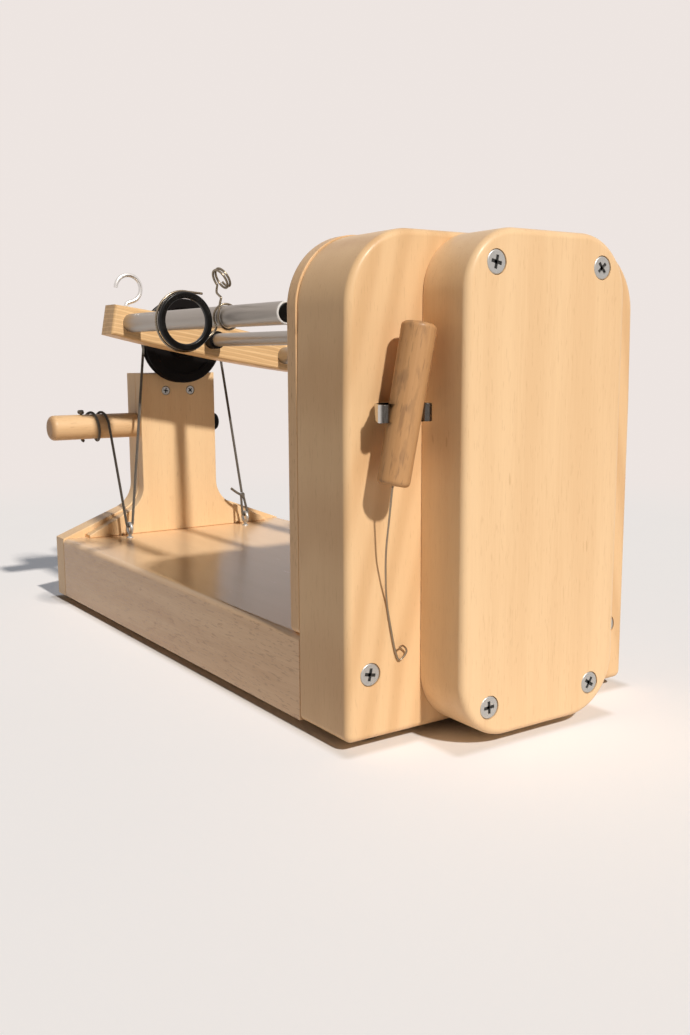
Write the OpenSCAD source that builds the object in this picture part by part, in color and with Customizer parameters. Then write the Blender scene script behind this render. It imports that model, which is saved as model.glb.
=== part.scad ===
// Electric spinning wheel: a bobbin-driven table spinner with a cord-braked flyer.
// Millimetres, +Z up. X = 0 is the plane of the spin axis, Y runs from the belt cover to the orifice,
// and Z = 0 is the table. The flyer rests turned a little, as it stops after spinning.

/* [Headstock] */
// Width of the headstock and of the base
body_w = 162; // [154:1:170]
// Thickness of the headstock block
body_t = 36; // [34:0.5:42]
// Height of the headstock block
body_h = 206; // [200:1:216]
// Radius of the headstock's top corners
body_r = 31; // [24:1:36]
// Round-over of the wooden edges
edge_r = 3; // [2:0.25:3.5]
// Thickness of the plate on the flyer side
plate_t = 8.5; // [8:0.25:11]
// Wall that carries the motor and the rear bearing
front_wall = 10; // [9:0.25:11]
// Side walls of the motor pocket
side_wall = 27; // [25:0.5:29]

/* [Belt cover] */
// Width of the belt cover
cover_w = 88; // [84:1:96]
// Thickness of the belt cover
cover_t = 27; // [26:0.5:32]
// Step from the headstock's top down to the cover's top
cover_drop = 1; // [0:0.25:3]
// Corner radius of the belt cover
cover_r = 25; // [18:1:28]
// Wall in front of the belt
cover_wall = 6; // [4:0.25:7]
// Cover screws, from the cover's sides
cover_screw_x = 14.8; // [13:0.2:16]
// Cover screws, from the cover's ends
cover_screw_z = 13.6; // [12:0.2:15]
// Head diameter of the wood screws
screw_head = 9.6; // [8.5:0.1:10.5]
// Shank diameter of the wood screws
screw_d = 5; // [4:0.1:5.4]

/* [Base and mast] */
// Height of the base board
base_h = 38; // [35:0.5:42]
// Length of the base board
base_l = 293; // [286:1:310]
// Height of the rubber feet
foot_h = 4; // [3:0.25:7]
// Diameter of the rubber feet
foot_d = 18; // [14:0.5:22]
// Width of the mast
mast_w = 54.5; // [50:0.5:62]
// Height of the spin axis above the mast's top
block_h = 21.1; // [20:0.1:25]
// Thickness of the mast plate that stands on the base
mast_t = 8.5; // [8:0.25:12]
// Thickness of the front board behind it
front_t = 14; // [13:0.25:18]
// Width of the mast plate's foot
mast_foot_w = 132; // [116:1:146]
// Radius where the mast flares into its foot
flare_r = 18; // [12:0.5:24]
// Slope of the mast plate's shoulders
mast_slope = 26; // [20:0.5:30]
// Slope of the front board's shoulders
front_slope = 21; // [16:0.5:26]

/* [Flyer] */
// Depth of the spin axis below the headstock's top
axis_drop = 40.3; // [36:0.1:43]
// Resting turn of the flyer
flyer_tilt = 10.5; // [0:0.1:14]
// Length of the flyer bar
bar_l = 132; // [126:0.5:140]
// Height of the bar at its middle
bar_mid = 21.4; // [20:0.2:26]
// Height of the bar at its ends
bar_end = 18; // [16:0.2:20]
// Depth of the bar along the axis
bar_t = 18; // [17:0.25:20]
// Gap from the bar's near face to the mast
bar_gap = 51.5; // [50:0.25:56]
// Radius at which the arms stand
arm_r = 54.5; // [50:0.25:57]
// Diameter of the arm tubes
tube_d = 11; // [10:0.1:12.5]
// Wall of the arm tubes
tube_wall = 1; // [0.8:0.1:1.6]
// Free length of the arms
arm_l = 181; // [150:1:190]
// Diameter of the spindle
spindle_d = 8; // [7:0.1:9]
// Outside diameter of the orifice tube
orifice_d = 14; // [13.5:0.1:16]
// Bore of the orifice tube
orifice_bore = 10; // [8:0.1:10.5]

/* [Yarn guides] */
// Spring wire of the sliding guides
wire_d = 1.2; // [1:0.05:1.6]
// Outside diameter of the black ring
ring_d = 28.75; // [27:0.25:32]
// Radial width of the black ring
ring_w = 3.3; // [2.8:0.1:4]
// Thickness of the black ring
ring_t = 3.2; // [3:0.1:5]
// Mean diameter of the coil eye
coil_d = 10.2; // [9.6:0.1:12]
// Distance of the guides from the bar
guide_y = 121.5; // [110:0.5:124]
// Wire of the open yarn hooks
hook_d = 2.5; // [2:0.05:2.8]
// Mean radius of the open yarn hooks
hook_r = 8; // [7.5:0.1:9]

/* [Brake] */
// Diameter of the brake drum
drum_d = 55; // [50:0.25:57]
// Thickness of the brake drum
drum_t = 7.5; // [6.5:0.1:8.5]
// Diameter of the brake cord
cord_d = 1.7; // [1.4:0.05:1.9]
// Screw eyes, from the middle
eye_x = 43; // [40:0.25:46]
// Diameter of the tension peg
peg_d = 16.1; // [14:0.1:17]
// Length of the peg outside the mast
peg_l = 58.7; // [56:0.1:62]
// Height of the peg above the base
peg_h = 72.3; // [68:0.1:78]

/* [Threading hook] */
// Diameter of the handle where the wire leaves it
handle_d = 13; // [12:0.1:14]
// Diameter of the handle at its other end
handle_top_d = 14; // [12:0.1:15]
// Length of the handle
handle_l = 63.5; // [58:0.5:68]
// Lean of the handle
handle_lean = 11.5; // [8:0.1:14]
// Wire of the threading hook
hook_wire_d = 0.8; // [0.7:0.05:1.2]

/* [Drive and controls] */
// Height of the motor shaft above the underside of the headstock
motor_h = 60; // [57:0.5:66]
// Diameter of the motor
motor_d = 46; // [40:0.5:48]
// Length of the motor
motor_l = 22; // [18:0.25:23]
// Diameter of the driven pulley
driven_d = 56; // [48:0.5:58]
// Diameter of the motor pulley
motor_pulley_d = 18; // [16:0.25:20]
// Width of the belt
belt_w = 5; // [4:0.1:6]
// Diameter of the bobbin driver
driver_d = 46; // [42:0.5:56]
// Diameter of the speed knob
knob_d = 22; // [18:0.25:24]

/* [Hidden] */
$fn = 64;

// Clearances: parts that stay put, shafts that turn, and parts that only pass each other
fit = 0.05;
run = 0.05;
clear = 0.3;

// Colours
beech = [0.85, 0.68, 0.48];
beech_light = [0.90, 0.75, 0.55];
plywood = [0.80, 0.62, 0.40];
zinc = [0.75, 0.76, 0.77];
alloy = [0.66, 0.66, 0.66];
steel = [0.55, 0.55, 0.56];
spring_wire = [0.45, 0.40, 0.33];
black = [0.06, 0.06, 0.06];
rubber = [0.10, 0.10, 0.10];
cord_grey = [0.20, 0.18, 0.16];
green = [0.10, 0.35, 0.20];
bronze = [0.75, 0.60, 0.30];

// Places along Y, with the middle of the whole length at 0
orifice_out = 4;
total_l = cover_t + body_t + base_l + front_t + orifice_out;
cover_y = -total_l / 2;
body_y = cover_y + cover_t;
plate_y = body_y + body_t;
plate_far_y = plate_y + plate_t;
front_y = plate_y + base_l;
mast_y = front_y - mast_t;
front_far_y = front_y + front_t;
orifice_end_y = front_far_y + orifice_out;
bar_y = mast_y - bar_gap;
bar_far_y = bar_y + bar_t;

// Heights
base_top = foot_h + base_h;
body_top = foot_h + body_h;
axis_h = body_h - axis_drop;
axis_z = foot_h + axis_h;
mast_top = axis_z - block_h;
cover_h = body_h - cover_drop;
mast_toe = 2;
motor_z = foot_h + motor_h;

// Screws in the boards
screw_l = 45;
head_edge = 0.4;
small_head = 6;
small_d = 3.2;
headstock_screw_x = 11.4;
headstock_screw_h = 27.8;
front_screw_x = 22;
front_screw_h = 19;
plate_screw_inset = 12;
mast_screw_x = 9;
mast_screw_down = 11.6;
plate_screw_bite = 16;

// Motor pocket and belt cavity
cut = 1;
pocket_r = 12;
pocket_gap = 2;
pocket_low = motor_h - motor_d / 2 - pocket_gap;
pocket_top = 18;
cavity_gap = 4;
cavity_half = 24;

// Shaft, bearings and pulleys
shaft_d = 10;
bearing_d = 22;
bearing_w = 7;
shaft_hole = shaft_d + 4;
pulley_w = belt_w + 4;
pulley_gap = 6;
pulley_y = body_y - pulley_gap - pulley_w;
pulley_rim = 1;
flange_t = 1.5;
hub_out = 2;
driven_hub_d = 2 * shaft_d;
belt_t = 1.2;
shaft_end_y = pulley_y - 2;
driver_gap = 2.5;
driver_y = plate_far_y + driver_gap;
driver_t = 6;
driver_hub_d = 20;
driver_hub_l = 9;
driver_hub_y = driver_y + driver_t + driver_hub_l;
bush_d = spindle_d + 5;
bush_l = 8.5;
bush_y = driver_hub_y - bush_l;
end_play = 0.5;
spindle_end_y = bush_y + end_play;
pin_d = 5;
pin_r = 16;
motor_y = body_y + front_wall;
motor_shaft_d = 5;
motor_boss_d = 16;
motor_hub_d = motor_shaft_d + 7;
motor_screw_r = 14;
motor_screw_count = 4;

// Flyer details
seat = 12;
spindle_seat = 7.5;
orifice_seat = 9;
collar_d = spindle_d + 3;
collar_l = 8;
exit_d = 9;
exit_y = bar_far_y + 11;
orifice_lip_d = orifice_d + 7;
orifice_lip_t = 2.5;
orifice_bearing_d = orifice_d + 8;
orifice_bearing_w = 7;
block_wall = 2.5;
block_w = orifice_bearing_d + 2 * block_wall;
neck_w = 14;
tongue_w = 32;
tongue_t = 6;
tongue_h = 20;

// Brake
drum_gap = 3.5;
drum_y = mast_y - drum_gap - drum_t;
groove_y = drum_y + drum_t / 2;
groove_depth = 1.9;
cord_run_r = drum_d / 2 - groove_depth + clear + cord_d / 2;
eye_wire = 2.2;
eye_r = 3.4;
eye_y = mast_y - 11.5;
eye_z = base_top + 6;
peg_y = front_y + 2;
peg_z = base_top + peg_h;
peg_shank_d = 9;
peg_shank_out = 4;
peg_cap_d = 12;
peg_cap_l = 6;
winding_r = peg_d / 2 + clear + cord_d / 2;
peg_round = 3.3;
winding_pitch = 7;
lead_pitch = 4.1;
even_turns = 0.75;
winding_x = -mast_w / 2 - 25.5;
peg_hole_in = 21.5;

// Threading hook
handle_gap = 17.1;
handle_drop = 68.7;
handle_x = -cover_w / 2 - handle_gap;
handle_z = body_top - handle_drop;
handle_mid_d = (handle_d + handle_top_d) / 2;
handle_round = 2;
clip_h = 7;
clip_t = 0.8;
clip_depth = 4.7;
clip_down = 3.2;
handle_out = clip_t + clip_depth + handle_d / 2;

// Controls on the right-hand side of the headstock
control_y = body_y + body_t / 2;
knob_drop = 27.7;
control_step = 38;
knob_z = axis_z - knob_drop;
rocker_z = knob_z - control_step;
inlet_z = rocker_z - control_step;
side_x = body_w / 2;
pot_d = 17;
pot_l = 12;
pot_shaft_d = 6;
pot_floor = 2;
knob_gap = 0.5;
knob_t = 7.5;
knob_body_d = knob_d - 4;
skirt_t = 1.6;
flute_d = 3;
flute_depth = 0.9;
panel_t = 4;
switch_w = 13;
switch_h = 19;
switch_l = 16;
switch_lip = 1.5;
switch_wall = 1.2;
rocker_r = 8;
rocker_out = 1;
rocker_pin_d = 2.5;
rocker_x = side_x + switch_lip + rocker_out - rocker_r;
inlet_d = 11;
inlet_l = 18;
inlet_flange_d = inlet_d + 4;
inlet_flange_t = 2;
inlet_bore_d = 8;
inlet_pin_d = 2.1;
inlet_depth = 8;

// Circuit board in the motor pocket
board_w = 46;
board_t = 1.6;
board_h = 40;
board_gap = 13;
board_z = motor_z + motor_d / 2 + board_gap;
post_d = 5;
post_l = 4;
post_inset = 5;
chip = [14, 8, 10];
can_d = 10;
can_l = 12;

// Direction that a list of points takes at place i
function along(p, i) =
    let (a = p[max(i - 1, 0)], b = p[min(i + 1, len(p) - 1)])
    (b - a) / norm(b - a);

// Sideways direction carried along a list of points without twist
function carried(p, i) =
    i == 0 ?
        let (t = along(p, 0), up = abs(t[2]) < 0.9 ? [0, 0, 1] : [1, 0, 0])
        let (s = cross(t, up))
        s / norm(s) :
        let (s = carried(p, i - 1), t = along(p, i))
        let (q = s - t * (s * t))
        q / norm(q);

// Ring of points round place i
function ring_at(p, i, d, sides) =
    let (t = along(p, i), s = carried(p, i), n = cross(t, s))
    [for (k = [0 : sides - 1]) p[i] + d / 2 * (cos(360 * k / sides) * s + sin(360 * k / sides) * n)];

// Points of a smooth curve through the given points, steps to each stretch
function smooth_curve(p, steps) = [
    for (i = [0 : len(p) - 2])
        for (j = [0 : (i == len(p) - 2 ? steps : steps - 1)])
            let (u = j / steps)
            let (a = p[max(i - 1, 0)], b = p[i], c = p[i + 1], d = p[min(i + 2, len(p) - 1)])
            0.5 * (2 * b + u * (c - a) + u * u * (2 * a - 5 * b + 4 * c - d)
                + u * u * u * (3 * b - a - 3 * c + d))
];

// Least distance between stretches of a winding that lie at least skip points apart
function self_gap(p, d, skip) =
    min([for (i = [0 : len(p) - 1 - skip]) for (j = [i + skip : len(p) - 1]) norm(p[i] - p[j])]) - d;

// Outline of a strip of even thickness along plane points
function strip(p, t) =
    let (n = [for (i = [0 : len(p) - 1])
        let (a = p[max(i - 1, 0)], b = p[min(i + 1, len(p) - 1)], v = (b - a) / norm(b - a))
        [-v[1], v[0]]])
    concat([for (i = [0 : len(p) - 1]) p[i] + n[i] * t / 2],
        [for (i = [len(p) - 1 : -1 : 0]) p[i] - n[i] * t / 2]);

// Tube swept along points
module tube_along(p, d, sides) {
    rings = [for (i = [0 : len(p) - 1]) each ring_at(p, i, d, sides)];
    last = (len(p) - 1) * sides;
    wall = [for (i = [0 : len(p) - 2]) for (k = [0 : sides - 1])
        let (a = i * sides + k, b = i * sides + (k + 1) % sides)
        each [[a, a + sides, b + sides], [a, b + sides, b]]];
    caps = [for (k = [1 : sides - 2])
        each [[0, k, k + 1], [last, last + k + 1, last + k]]];
    polyhedron(rings, concat(wall, caps));
}

// Round bar along Y
module rod(y, l, d) {
    translate([0, y, 0])
        rotate([-90, 0, 0])
            cylinder(d = d, h = l);
}

// Round bar along Y with a bore through it
module sleeve(y, l, d, bore) {
    difference() {
        rod(y, l, d);
        rod(y - 1, l + 2, bore);
    }
}

// Sealed ball bearing along Y: two races with the shield a little below their faces
module ball_bearing(y, w, d, bore) {
    race = (d - bore) / 6;
    dip = 0.4;
    translate([0, y, 0])
        rotate([-90, 0, 0])
            rotate_extrude()
                polygon([
                    [bore / 2, 0], [bore / 2 + race, 0], [bore / 2 + race, dip], [d / 2 - race, dip],
                    [d / 2 - race, 0], [d / 2, 0], [d / 2, w], [d / 2 - race, w], [d / 2 - race, w - dip],
                    [bore / 2 + race, w - dip], [bore / 2 + race, w], [bore / 2, w]
                ]);
}

// Upright plane shape given depth along Y
module upright(y, t) {
    translate([0, y + t, 0])
        rotate([90, 0, 0])
            linear_extrude(t)
                children();
}

// Countersunk screw that enters along +Y, or the hole for it when grown
module wood_screw(head, d, l, grow = 0) {
    cone = (head - d) / 2;
    rotate([-90, 0, 0])
        rotate_extrude()
            polygon([
                [0, 0], [head / 2 + grow, 0], [head / 2 + grow, head_edge], [d / 2 + grow, head_edge + cone],
                [d / 2 + grow, l + grow], [0, l + grow]
            ]);
}

// Rim of a board as steps of depth and inset, a quarter round or a chamfer when it is small
function rim(r) =
    let (steps = r < 1.5 ? 1 : 4)
    [for (i = [0 : steps]) [r * (1 - cos(90 * i / steps)), r * (1 - sin(90 * i / steps))]];

// Upright board with rounded corners and rims, standing on Z = 0 with its near face at Y = 0
module soft_board(w, h, t, top_r, low_r, near_r, far_r) {
    near = rim(near_r);
    far = [for (s = rim(far_r)) [t - s[0], s[1]]];
    steps = concat(near, [for (i = [len(far) - 1 : -1 : 0]) far[i]]);
    hull()
        for (i = [0 : len(steps) - 2], side = [-1, 1], top = [0, 1]) {
            r = top == 1 ? top_r : low_r;
            z = top == 1 ? h - r : r;
            translate([side * (w / 2 - r), steps[i][0], z])
                rotate([-90, 0, 0])
                    cylinder(
                        h = steps[i + 1][0] - steps[i][0],
                        r1 = r - steps[i][1], r2 = r - steps[i + 1][1], $fn = 48
                    );
        }
}

// Half outline of the mast: straight side, concave flare, sloping shoulder to the foot at x, z
function mast_side(x, z, slope) =
    let (a = mast_w / 2, c = z + (flare_r - sin(slope) * (a + flare_r - x)) / cos(slope))
    concat([[a, mast_top]],
        [for (i = [0 : 12])
            let (g = 180 + i * (90 - slope) / 12)
            [a + flare_r + flare_r * cos(g), c + flare_r * sin(g)]],
        [[x, z]]);

function mirrored(p) = [for (i = [len(p) - 1 : -1 : 0]) [-p[i][0], p[i][1]]];

// Places everything that belongs to the flyer, turned to its resting angle
module on_flyer() {
    translate([0, 0, axis_z])
        rotate([0, flyer_tilt, 0])
            children();
}

// Half turn that makes the second arm's pieces from the first arm's
module half_turn() {
    rotate([0, 180, 0])
        children();
}

module on_axis() {
    translate([0, 0, axis_z])
        children();
}

module at_motor() {
    translate([0, 0, motor_z])
        children();
}

// Places of the screws
cover_screw_places = [for (sx = [-1, 1], z = [cover_screw_z, cover_h - cover_screw_z])
    [sx * (cover_w / 2 - cover_screw_x), cover_y, foot_h + z]];
headstock_screw_places = [for (sx = [-1, 1])
    [sx * (body_w / 2 - headstock_screw_x), body_y, foot_h + headstock_screw_h]];
plate_screw_places = [for (sx = [-1, 1], z = [base_top + plate_screw_inset, body_top - body_r])
    [sx * (body_w / 2 - plate_screw_inset), plate_far_y, z]];
front_screw_places = [for (sx = [-1, 1])
    [sx * (body_w / 2 - front_screw_x), front_far_y, foot_h + front_screw_h]];
mast_screw_places = [for (sx = [-1, 1]) [sx * mast_screw_x, mast_y, mast_top - mast_screw_down]];
mast_screw_l = mast_t + tongue_t - 1;
plate_screw_l = plate_t + plate_screw_bite;
foot_inset = 18;
foot_places = [for (sx = [-1, 1], y = [body_y + body_t / 2, front_y - foot_inset])
    [sx * (body_w / 2 - foot_inset), y]];

module base_board() {
    color(beech)
        difference() {
            upright(plate_y, base_l)
                translate([0, foot_h])
                    union() {
                        translate([-body_w / 2, 0])
                            square([body_w, base_h - edge_r]);
                        translate([-body_w / 2 + edge_r, 0])
                            square([body_w - 2 * edge_r, base_h]);
                        for (sx = [-1, 1])
                            translate([sx * (body_w / 2 - edge_r), base_h - edge_r])
                                circle(edge_r);
                    }
            for (p = headstock_screw_places)
                translate(p)
                    wood_screw(screw_head, screw_d, screw_l + body_t / 2, fit);
            for (p = front_screw_places)
                translate(p)
                    rotate([0, 0, 180])
                        wood_screw(screw_head, screw_d, screw_l, fit);
            for (sx = [-1, 1])
                translate([sx * eye_x, eye_y, base_top - eye_shank_l])
                    cylinder(d = eye_wire + 2 * fit, h = eye_shank_l + 1);
        }
}

eye_shank_l = 12;

module headstock_block() {
    pocket_w = body_w - 2 * side_wall;
    pocket_h = body_h - pocket_low - pocket_top;
    color(beech_light)
        difference() {
            translate([0, body_y, foot_h])
                soft_board(body_w, body_h, body_t, body_r, edge_r + 0.5, edge_r, 0.8);
            upright(body_y + front_wall, body_t)
                translate([-pocket_w / 2, foot_h + pocket_low])
                    union() {
                        translate([pocket_r, 0])
                            square([pocket_w - 2 * pocket_r, pocket_h]);
                        translate([0, pocket_r])
                            square([pocket_w, pocket_h - 2 * pocket_r]);
                        for (x = [pocket_r, pocket_w - pocket_r], z = [pocket_r, pocket_h - pocket_r])
                            translate([x, z])
                                circle(pocket_r);
                    }
            on_axis() {
                rod(body_y - 1, front_wall + 2, shaft_hole);
                rod(body_y + front_wall - bearing_w, bearing_w + 1, bearing_d + 2 * fit);
            }
            at_motor()
                rod(body_y - 1, front_wall + 2, motor_boss_d + 2 * fit);
            for (p = motor_screw_places)
                translate(p)
                    rod(body_y - 1, front_wall + 2, small_d + 2 * fit);
            for (p = headstock_screw_places)
                translate(p)
                    wood_screw(screw_head, screw_d, screw_l + body_t / 2, fit);
            for (p = plate_screw_places)
                translate(p)
                    rotate([0, 0, 180])
                        wood_screw(small_head, small_d, plate_screw_l, fit);
            for (p = cover_screw_places)
                translate(p)
                    wood_screw(screw_head, screw_d, screw_l, fit);
            translate(clip_place)
                rod(-1, clip_screw_l + 1 + fit, small_d + 2 * fit);
            side_bore(knob_z, pot_d, panel_t);
            translate([side_x - panel_t - 1, control_y, knob_z])
                rotate([0, 90, 0])
                    cylinder(d = pot_shaft_d + 2, h = panel_t + 2);
            translate([side_x - side_wall - 1, control_y - switch_w / 2 - fit, rocker_z - switch_h / 2 - fit])
                cube([side_wall + 2, switch_w + 2 * fit, switch_h + 2 * fit]);
            side_bore(inlet_z, inlet_d, -1);
        }
}

// Round bore from the motor pocket towards the right-hand side
module side_bore(z, d, left) {
    translate([side_x - side_wall - 1, control_y, z])
        rotate([0, 90, 0])
            cylinder(d = d + 2 * fit, h = side_wall + 1 - left);
}

module inner_plate() {
    color(beech)
        difference() {
            translate([0, plate_y, base_top])
                soft_board(body_w, body_h - base_h, plate_t, body_r, edge_r, 0.8, edge_r - 1);
            on_axis() {
                rod(plate_y - 1, plate_t + 2, shaft_hole);
                rod(plate_y - 1, bearing_w + 1, bearing_d + 2 * fit);
            }
            for (p = plate_screw_places)
                translate(p)
                    rotate([0, 0, 180])
                        wood_screw(small_head, small_d, plate_screw_l, fit);
        }
}

module belt_cover() {
    color(beech_light)
        difference() {
            translate([0, cover_y, foot_h])
                soft_board(cover_w, cover_h, cover_t, cover_r, cover_r, edge_r, 0.5);
            upright(cover_y + cover_wall, cover_t)
                translate([0, axis_z])
                    polygon(belt_outline(driven_d / 2 + cavity_gap, cavity_half, axis_h - motor_h));
            for (p = cover_screw_places)
                translate(p)
                    wood_screw(screw_head, screw_d, screw_l, fit);
        }
}

module cover_screws() {
    color(zinc)
        for (p = cover_screw_places)
            translate(p)
                wood_screw(screw_head, screw_d, screw_l);
}

module headstock_screws() {
    color(zinc)
        for (p = headstock_screw_places)
            translate(p)
                wood_screw(screw_head, screw_d, screw_l + body_t / 2);
}

module plate_screws() {
    color(zinc)
        for (p = plate_screw_places)
            translate(p)
                rotate([0, 0, 180])
                    wood_screw(small_head, small_d, plate_screw_l);
}

module mast_plate() {
    side = mast_side(mast_foot_w / 2, base_top + mast_toe, mast_slope);
    half = concat(side, [[mast_foot_w / 2, base_top]]);
    color(beech_light)
        difference() {
            upright(mast_y, mast_t)
                polygon(concat(half, mirrored(half)));
            peg_hole();
            for (p = mast_screw_places)
                translate(p)
                    wood_screw(small_head, small_d, mast_screw_l, fit);
        }
}

module front_board() {
    side = mast_side(body_w / 2, base_top, front_slope);
    half = concat(side, [[body_w / 2, foot_h]]);
    color(beech)
        difference() {
            upright(front_y, front_t)
                polygon(concat(half, mirrored(half)));
            translate([-tongue_w / 2 - fit, front_y - 1, mast_top - tongue_h - fit])
                cube([tongue_w + 2 * fit, tongue_t + 1 + fit, tongue_h + 1]);
            peg_hole();
            for (p = front_screw_places)
                translate(p)
                    rotate([0, 0, 180])
                        wood_screw(screw_head, screw_d, screw_l, fit);
        }
}

// Bore for the peg's shank, right through the mast
module peg_hole() {
    translate([-mast_w / 2 - 1, peg_y, peg_z])
        rotate([0, 90, 0])
            cylinder(d = peg_shank_d + 2 * run, h = mast_w + 2);
}

module front_screws() {
    color(zinc)
        for (p = front_screw_places)
            translate(p)
                rotate([0, 0, 180])
                    wood_screw(screw_head, screw_d, screw_l);
}

module mast_screws() {
    color(zinc)
        for (p = mast_screw_places)
            translate(p)
                wood_screw(small_head, small_d, mast_screw_l);
}

// Round bearing housing on a neck, with a tongue let into the front board
module bearing_block() {
    color(black)
        difference() {
            union() {
                upright(front_y, front_t)
                    union() {
                        translate([-neck_w / 2, mast_top])
                            square([neck_w, axis_z - mast_top]);
                        translate([0, axis_z])
                            circle(d = block_w);
                    }
                translate([-tongue_w / 2, front_y, mast_top - tongue_h])
                    cube([tongue_w, tongue_t, tongue_h]);
                translate([-neck_w / 2, front_y, mast_top - tongue_h])
                    cube([neck_w, tongue_t, tongue_h + 1]);
            }
            on_axis() {
                rod(front_y - 1, front_t + 2, orifice_d + 2);
                rod(front_far_y - orifice_bearing_w, orifice_bearing_w + 1, orifice_bearing_d + 2 * fit);
            }
            for (p = mast_screw_places)
                translate(p)
                    wood_screw(small_head, small_d, mast_screw_l, fit);
        }
}

module orifice_bearing() {
    color(steel)
        on_axis()
            ball_bearing(
                front_far_y - orifice_bearing_w, orifice_bearing_w, orifice_bearing_d, orifice_d + 2 * run
            );
}

// Screw eye: a ring of wire on a shank that is driven into the base
module screw_eye(x) {
    color(zinc)
        translate([x, eye_y, 0])
            union() {
                translate([0, 0, eye_z])
                    rotate([0, 90, 0])
                        rotate_extrude()
                            translate([eye_r, 0])
                                circle(d = eye_wire, $fn = 24);
                translate([0, 0, base_top - eye_shank_l])
                    cylinder(d = eye_wire, h = eye_z - eye_r - base_top + eye_shank_l);
            }
}

module eyelet_left() {
    screw_eye(-eye_x);
}

module eyelet_right() {
    screw_eye(eye_x);
}

module rubber_feet() {
    color(rubber)
        for (p = foot_places)
            translate([p[0], p[1], 0])
                rotate_extrude()
                    polygon([
                        [0, 0], [foot_d / 2 - 1, 0], [foot_d / 2, 1], [foot_d / 2, foot_h], [0, foot_h]
                    ]);
}

// Motor, bolted to the wall between the pocket and the belt
motor_screw_places = [for (i = [0 : motor_screw_count - 1])
    let (a = 45 + 360 * i / motor_screw_count)
    [motor_screw_r * cos(a), 0, motor_z + motor_screw_r * sin(a)]];
motor_screw_head_t = 2.5;
motor_screw_l = front_wall + 6;

module motor() {
    boss_l = front_wall - 1;
    color(black)
        difference() {
            at_motor()
                union() {
                    rod(motor_y, motor_l, motor_d);
                    rod(motor_y - boss_l, boss_l + 1, motor_boss_d);
                }
            at_motor()
                rod(motor_y - boss_l - 1, motor_l + boss_l - 2, motor_shaft_d + 2 * run);
            for (p = motor_screw_places)
                translate(p)
                    rod(motor_y - 1, motor_screw_l - front_wall + 1 + fit, small_d + 2 * fit);
        }
}

module motor_screws() {
    color(steel)
        for (p = motor_screw_places)
            translate(p) {
                rod(body_y - motor_screw_head_t, motor_screw_head_t, small_head);
                rod(body_y - 0.5, motor_screw_l + 0.5, small_d);
            }
}

// Outline of an open belt round two pulleys, whose flats keep clear of the rounds by the given radii
function belt_outline(big, small, span) =
    let (lean = asin((big - small) / span))
    let (wide = (90 + lean) / belt_steps, narrow = (90 - lean) / belt_steps)
    concat(
        [for (i = [0 : belt_steps])
            let (g = -lean + 2 * wide * i)
            big / cos(wide) * [cos(g), sin(g)]],
        [for (i = [0 : belt_steps])
            let (g = 180 + lean + 2 * narrow * i)
            small / cos(narrow) * [cos(g), sin(g)] - [0, span]]
    );

belt_steps = 24;

module drive_belt() {
    span = axis_h - motor_h;
    big = driven_d / 2 + run;
    small = motor_pulley_d / 2 + run;
    color(rubber)
        on_axis()
            upright(pulley_y + (pulley_w - belt_w) / 2, belt_w)
                difference() {
                    polygon(belt_outline(big + belt_t, small + belt_t, span));
                    polygon(belt_outline(big, small, span));
                }
}

module rear_bearing() {
    color(steel)
        on_axis()
            ball_bearing(body_y + front_wall - bearing_w, bearing_w, bearing_d, shaft_d + 2 * run);
}

module plate_bearing() {
    color(steel)
        on_axis()
            ball_bearing(plate_y, bearing_w, bearing_d, shaft_d + 2 * run);
}

// Spring clip for the threading hook: it stands upright, a little below the middle of the leaning handle
clip_place = [handle_x - sin(handle_lean) * clip_down, body_y, handle_z - cos(handle_lean) * clip_down];
clip_screw_l = 9;
clip_screw_head_t = 1.6;
clip_lip_r = 2;
clip_lip_back = 2.4;

module on_handle() {
    translate([handle_x, body_y, handle_z])
        rotate([0, handle_lean, 0])
            children();
}

// The arms reach to the handle's middle, and their lips curl outwards and back
module tool_clip() {
    held = handle_mid_d / 2 / cos(handle_lean) + clip_h / 2 * tan(handle_lean);
    grip = held + clear + clip_t / 2;
    lip = [for (g = [180 : 30 : 360])
        [grip + clip_lip_r + clip_lip_r * cos(g), -handle_out + clip_lip_r * sin(g)]];
    half = concat(
        [[0, -clip_t / 2], [4, -clip_t / 2], [grip - 0.8, -3], [grip - 0.2, -handle_out * 0.55]],
        lip, [[grip + 2 * clip_lip_r, -handle_out + clip_lip_back]]
    );
    path = concat([for (i = [len(half) - 1 : -1 : 1]) [-half[i][0], half[i][1]]], half);
    color(zinc)
        translate(clip_place)
            difference() {
                translate([0, 0, -clip_h / 2])
                    linear_extrude(clip_h)
                        polygon(strip(path, clip_t));
                rod(-clip_t - 1, clip_t + 2, small_d + 2 * fit);
            }
}

module clip_screw() {
    color(zinc)
        translate(clip_place) {
            rod(-clip_t - clip_screw_head_t, clip_screw_head_t, small_head);
            rod(-clip_t - 0.5, clip_screw_l + clip_t + 0.5, small_d);
        }
}

module control_board() {
    sink = board_t / 3;
    color(green)
        translate([-board_w / 2, body_y + front_wall + post_l, board_z])
            union() {
                cube([board_w, board_t, board_h]);
                for (x = [post_inset, board_w - post_inset], z = [post_inset, board_h - post_inset])
                    translate([x, -post_l, z])
                        rod(0, post_l + sink, post_d);
                translate([chip[1], board_t - sink, chip[1]])
                    cube(chip);
                translate([board_w * 0.6, board_t - sink, board_h * 0.55])
                    rod(0, can_l, can_d);
            }
}

module speed_pot() {
    color(steel)
        difference() {
            translate([side_x - panel_t - pot_l, control_y, knob_z])
                rotate([0, 90, 0])
                    cylinder(d = pot_d, h = pot_l);
            translate([side_x - panel_t - pot_l + pot_floor, control_y, knob_z])
                rotate([0, 90, 0])
                    cylinder(d = pot_shaft_d + 2 * run, h = pot_l);
        }
}

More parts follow.
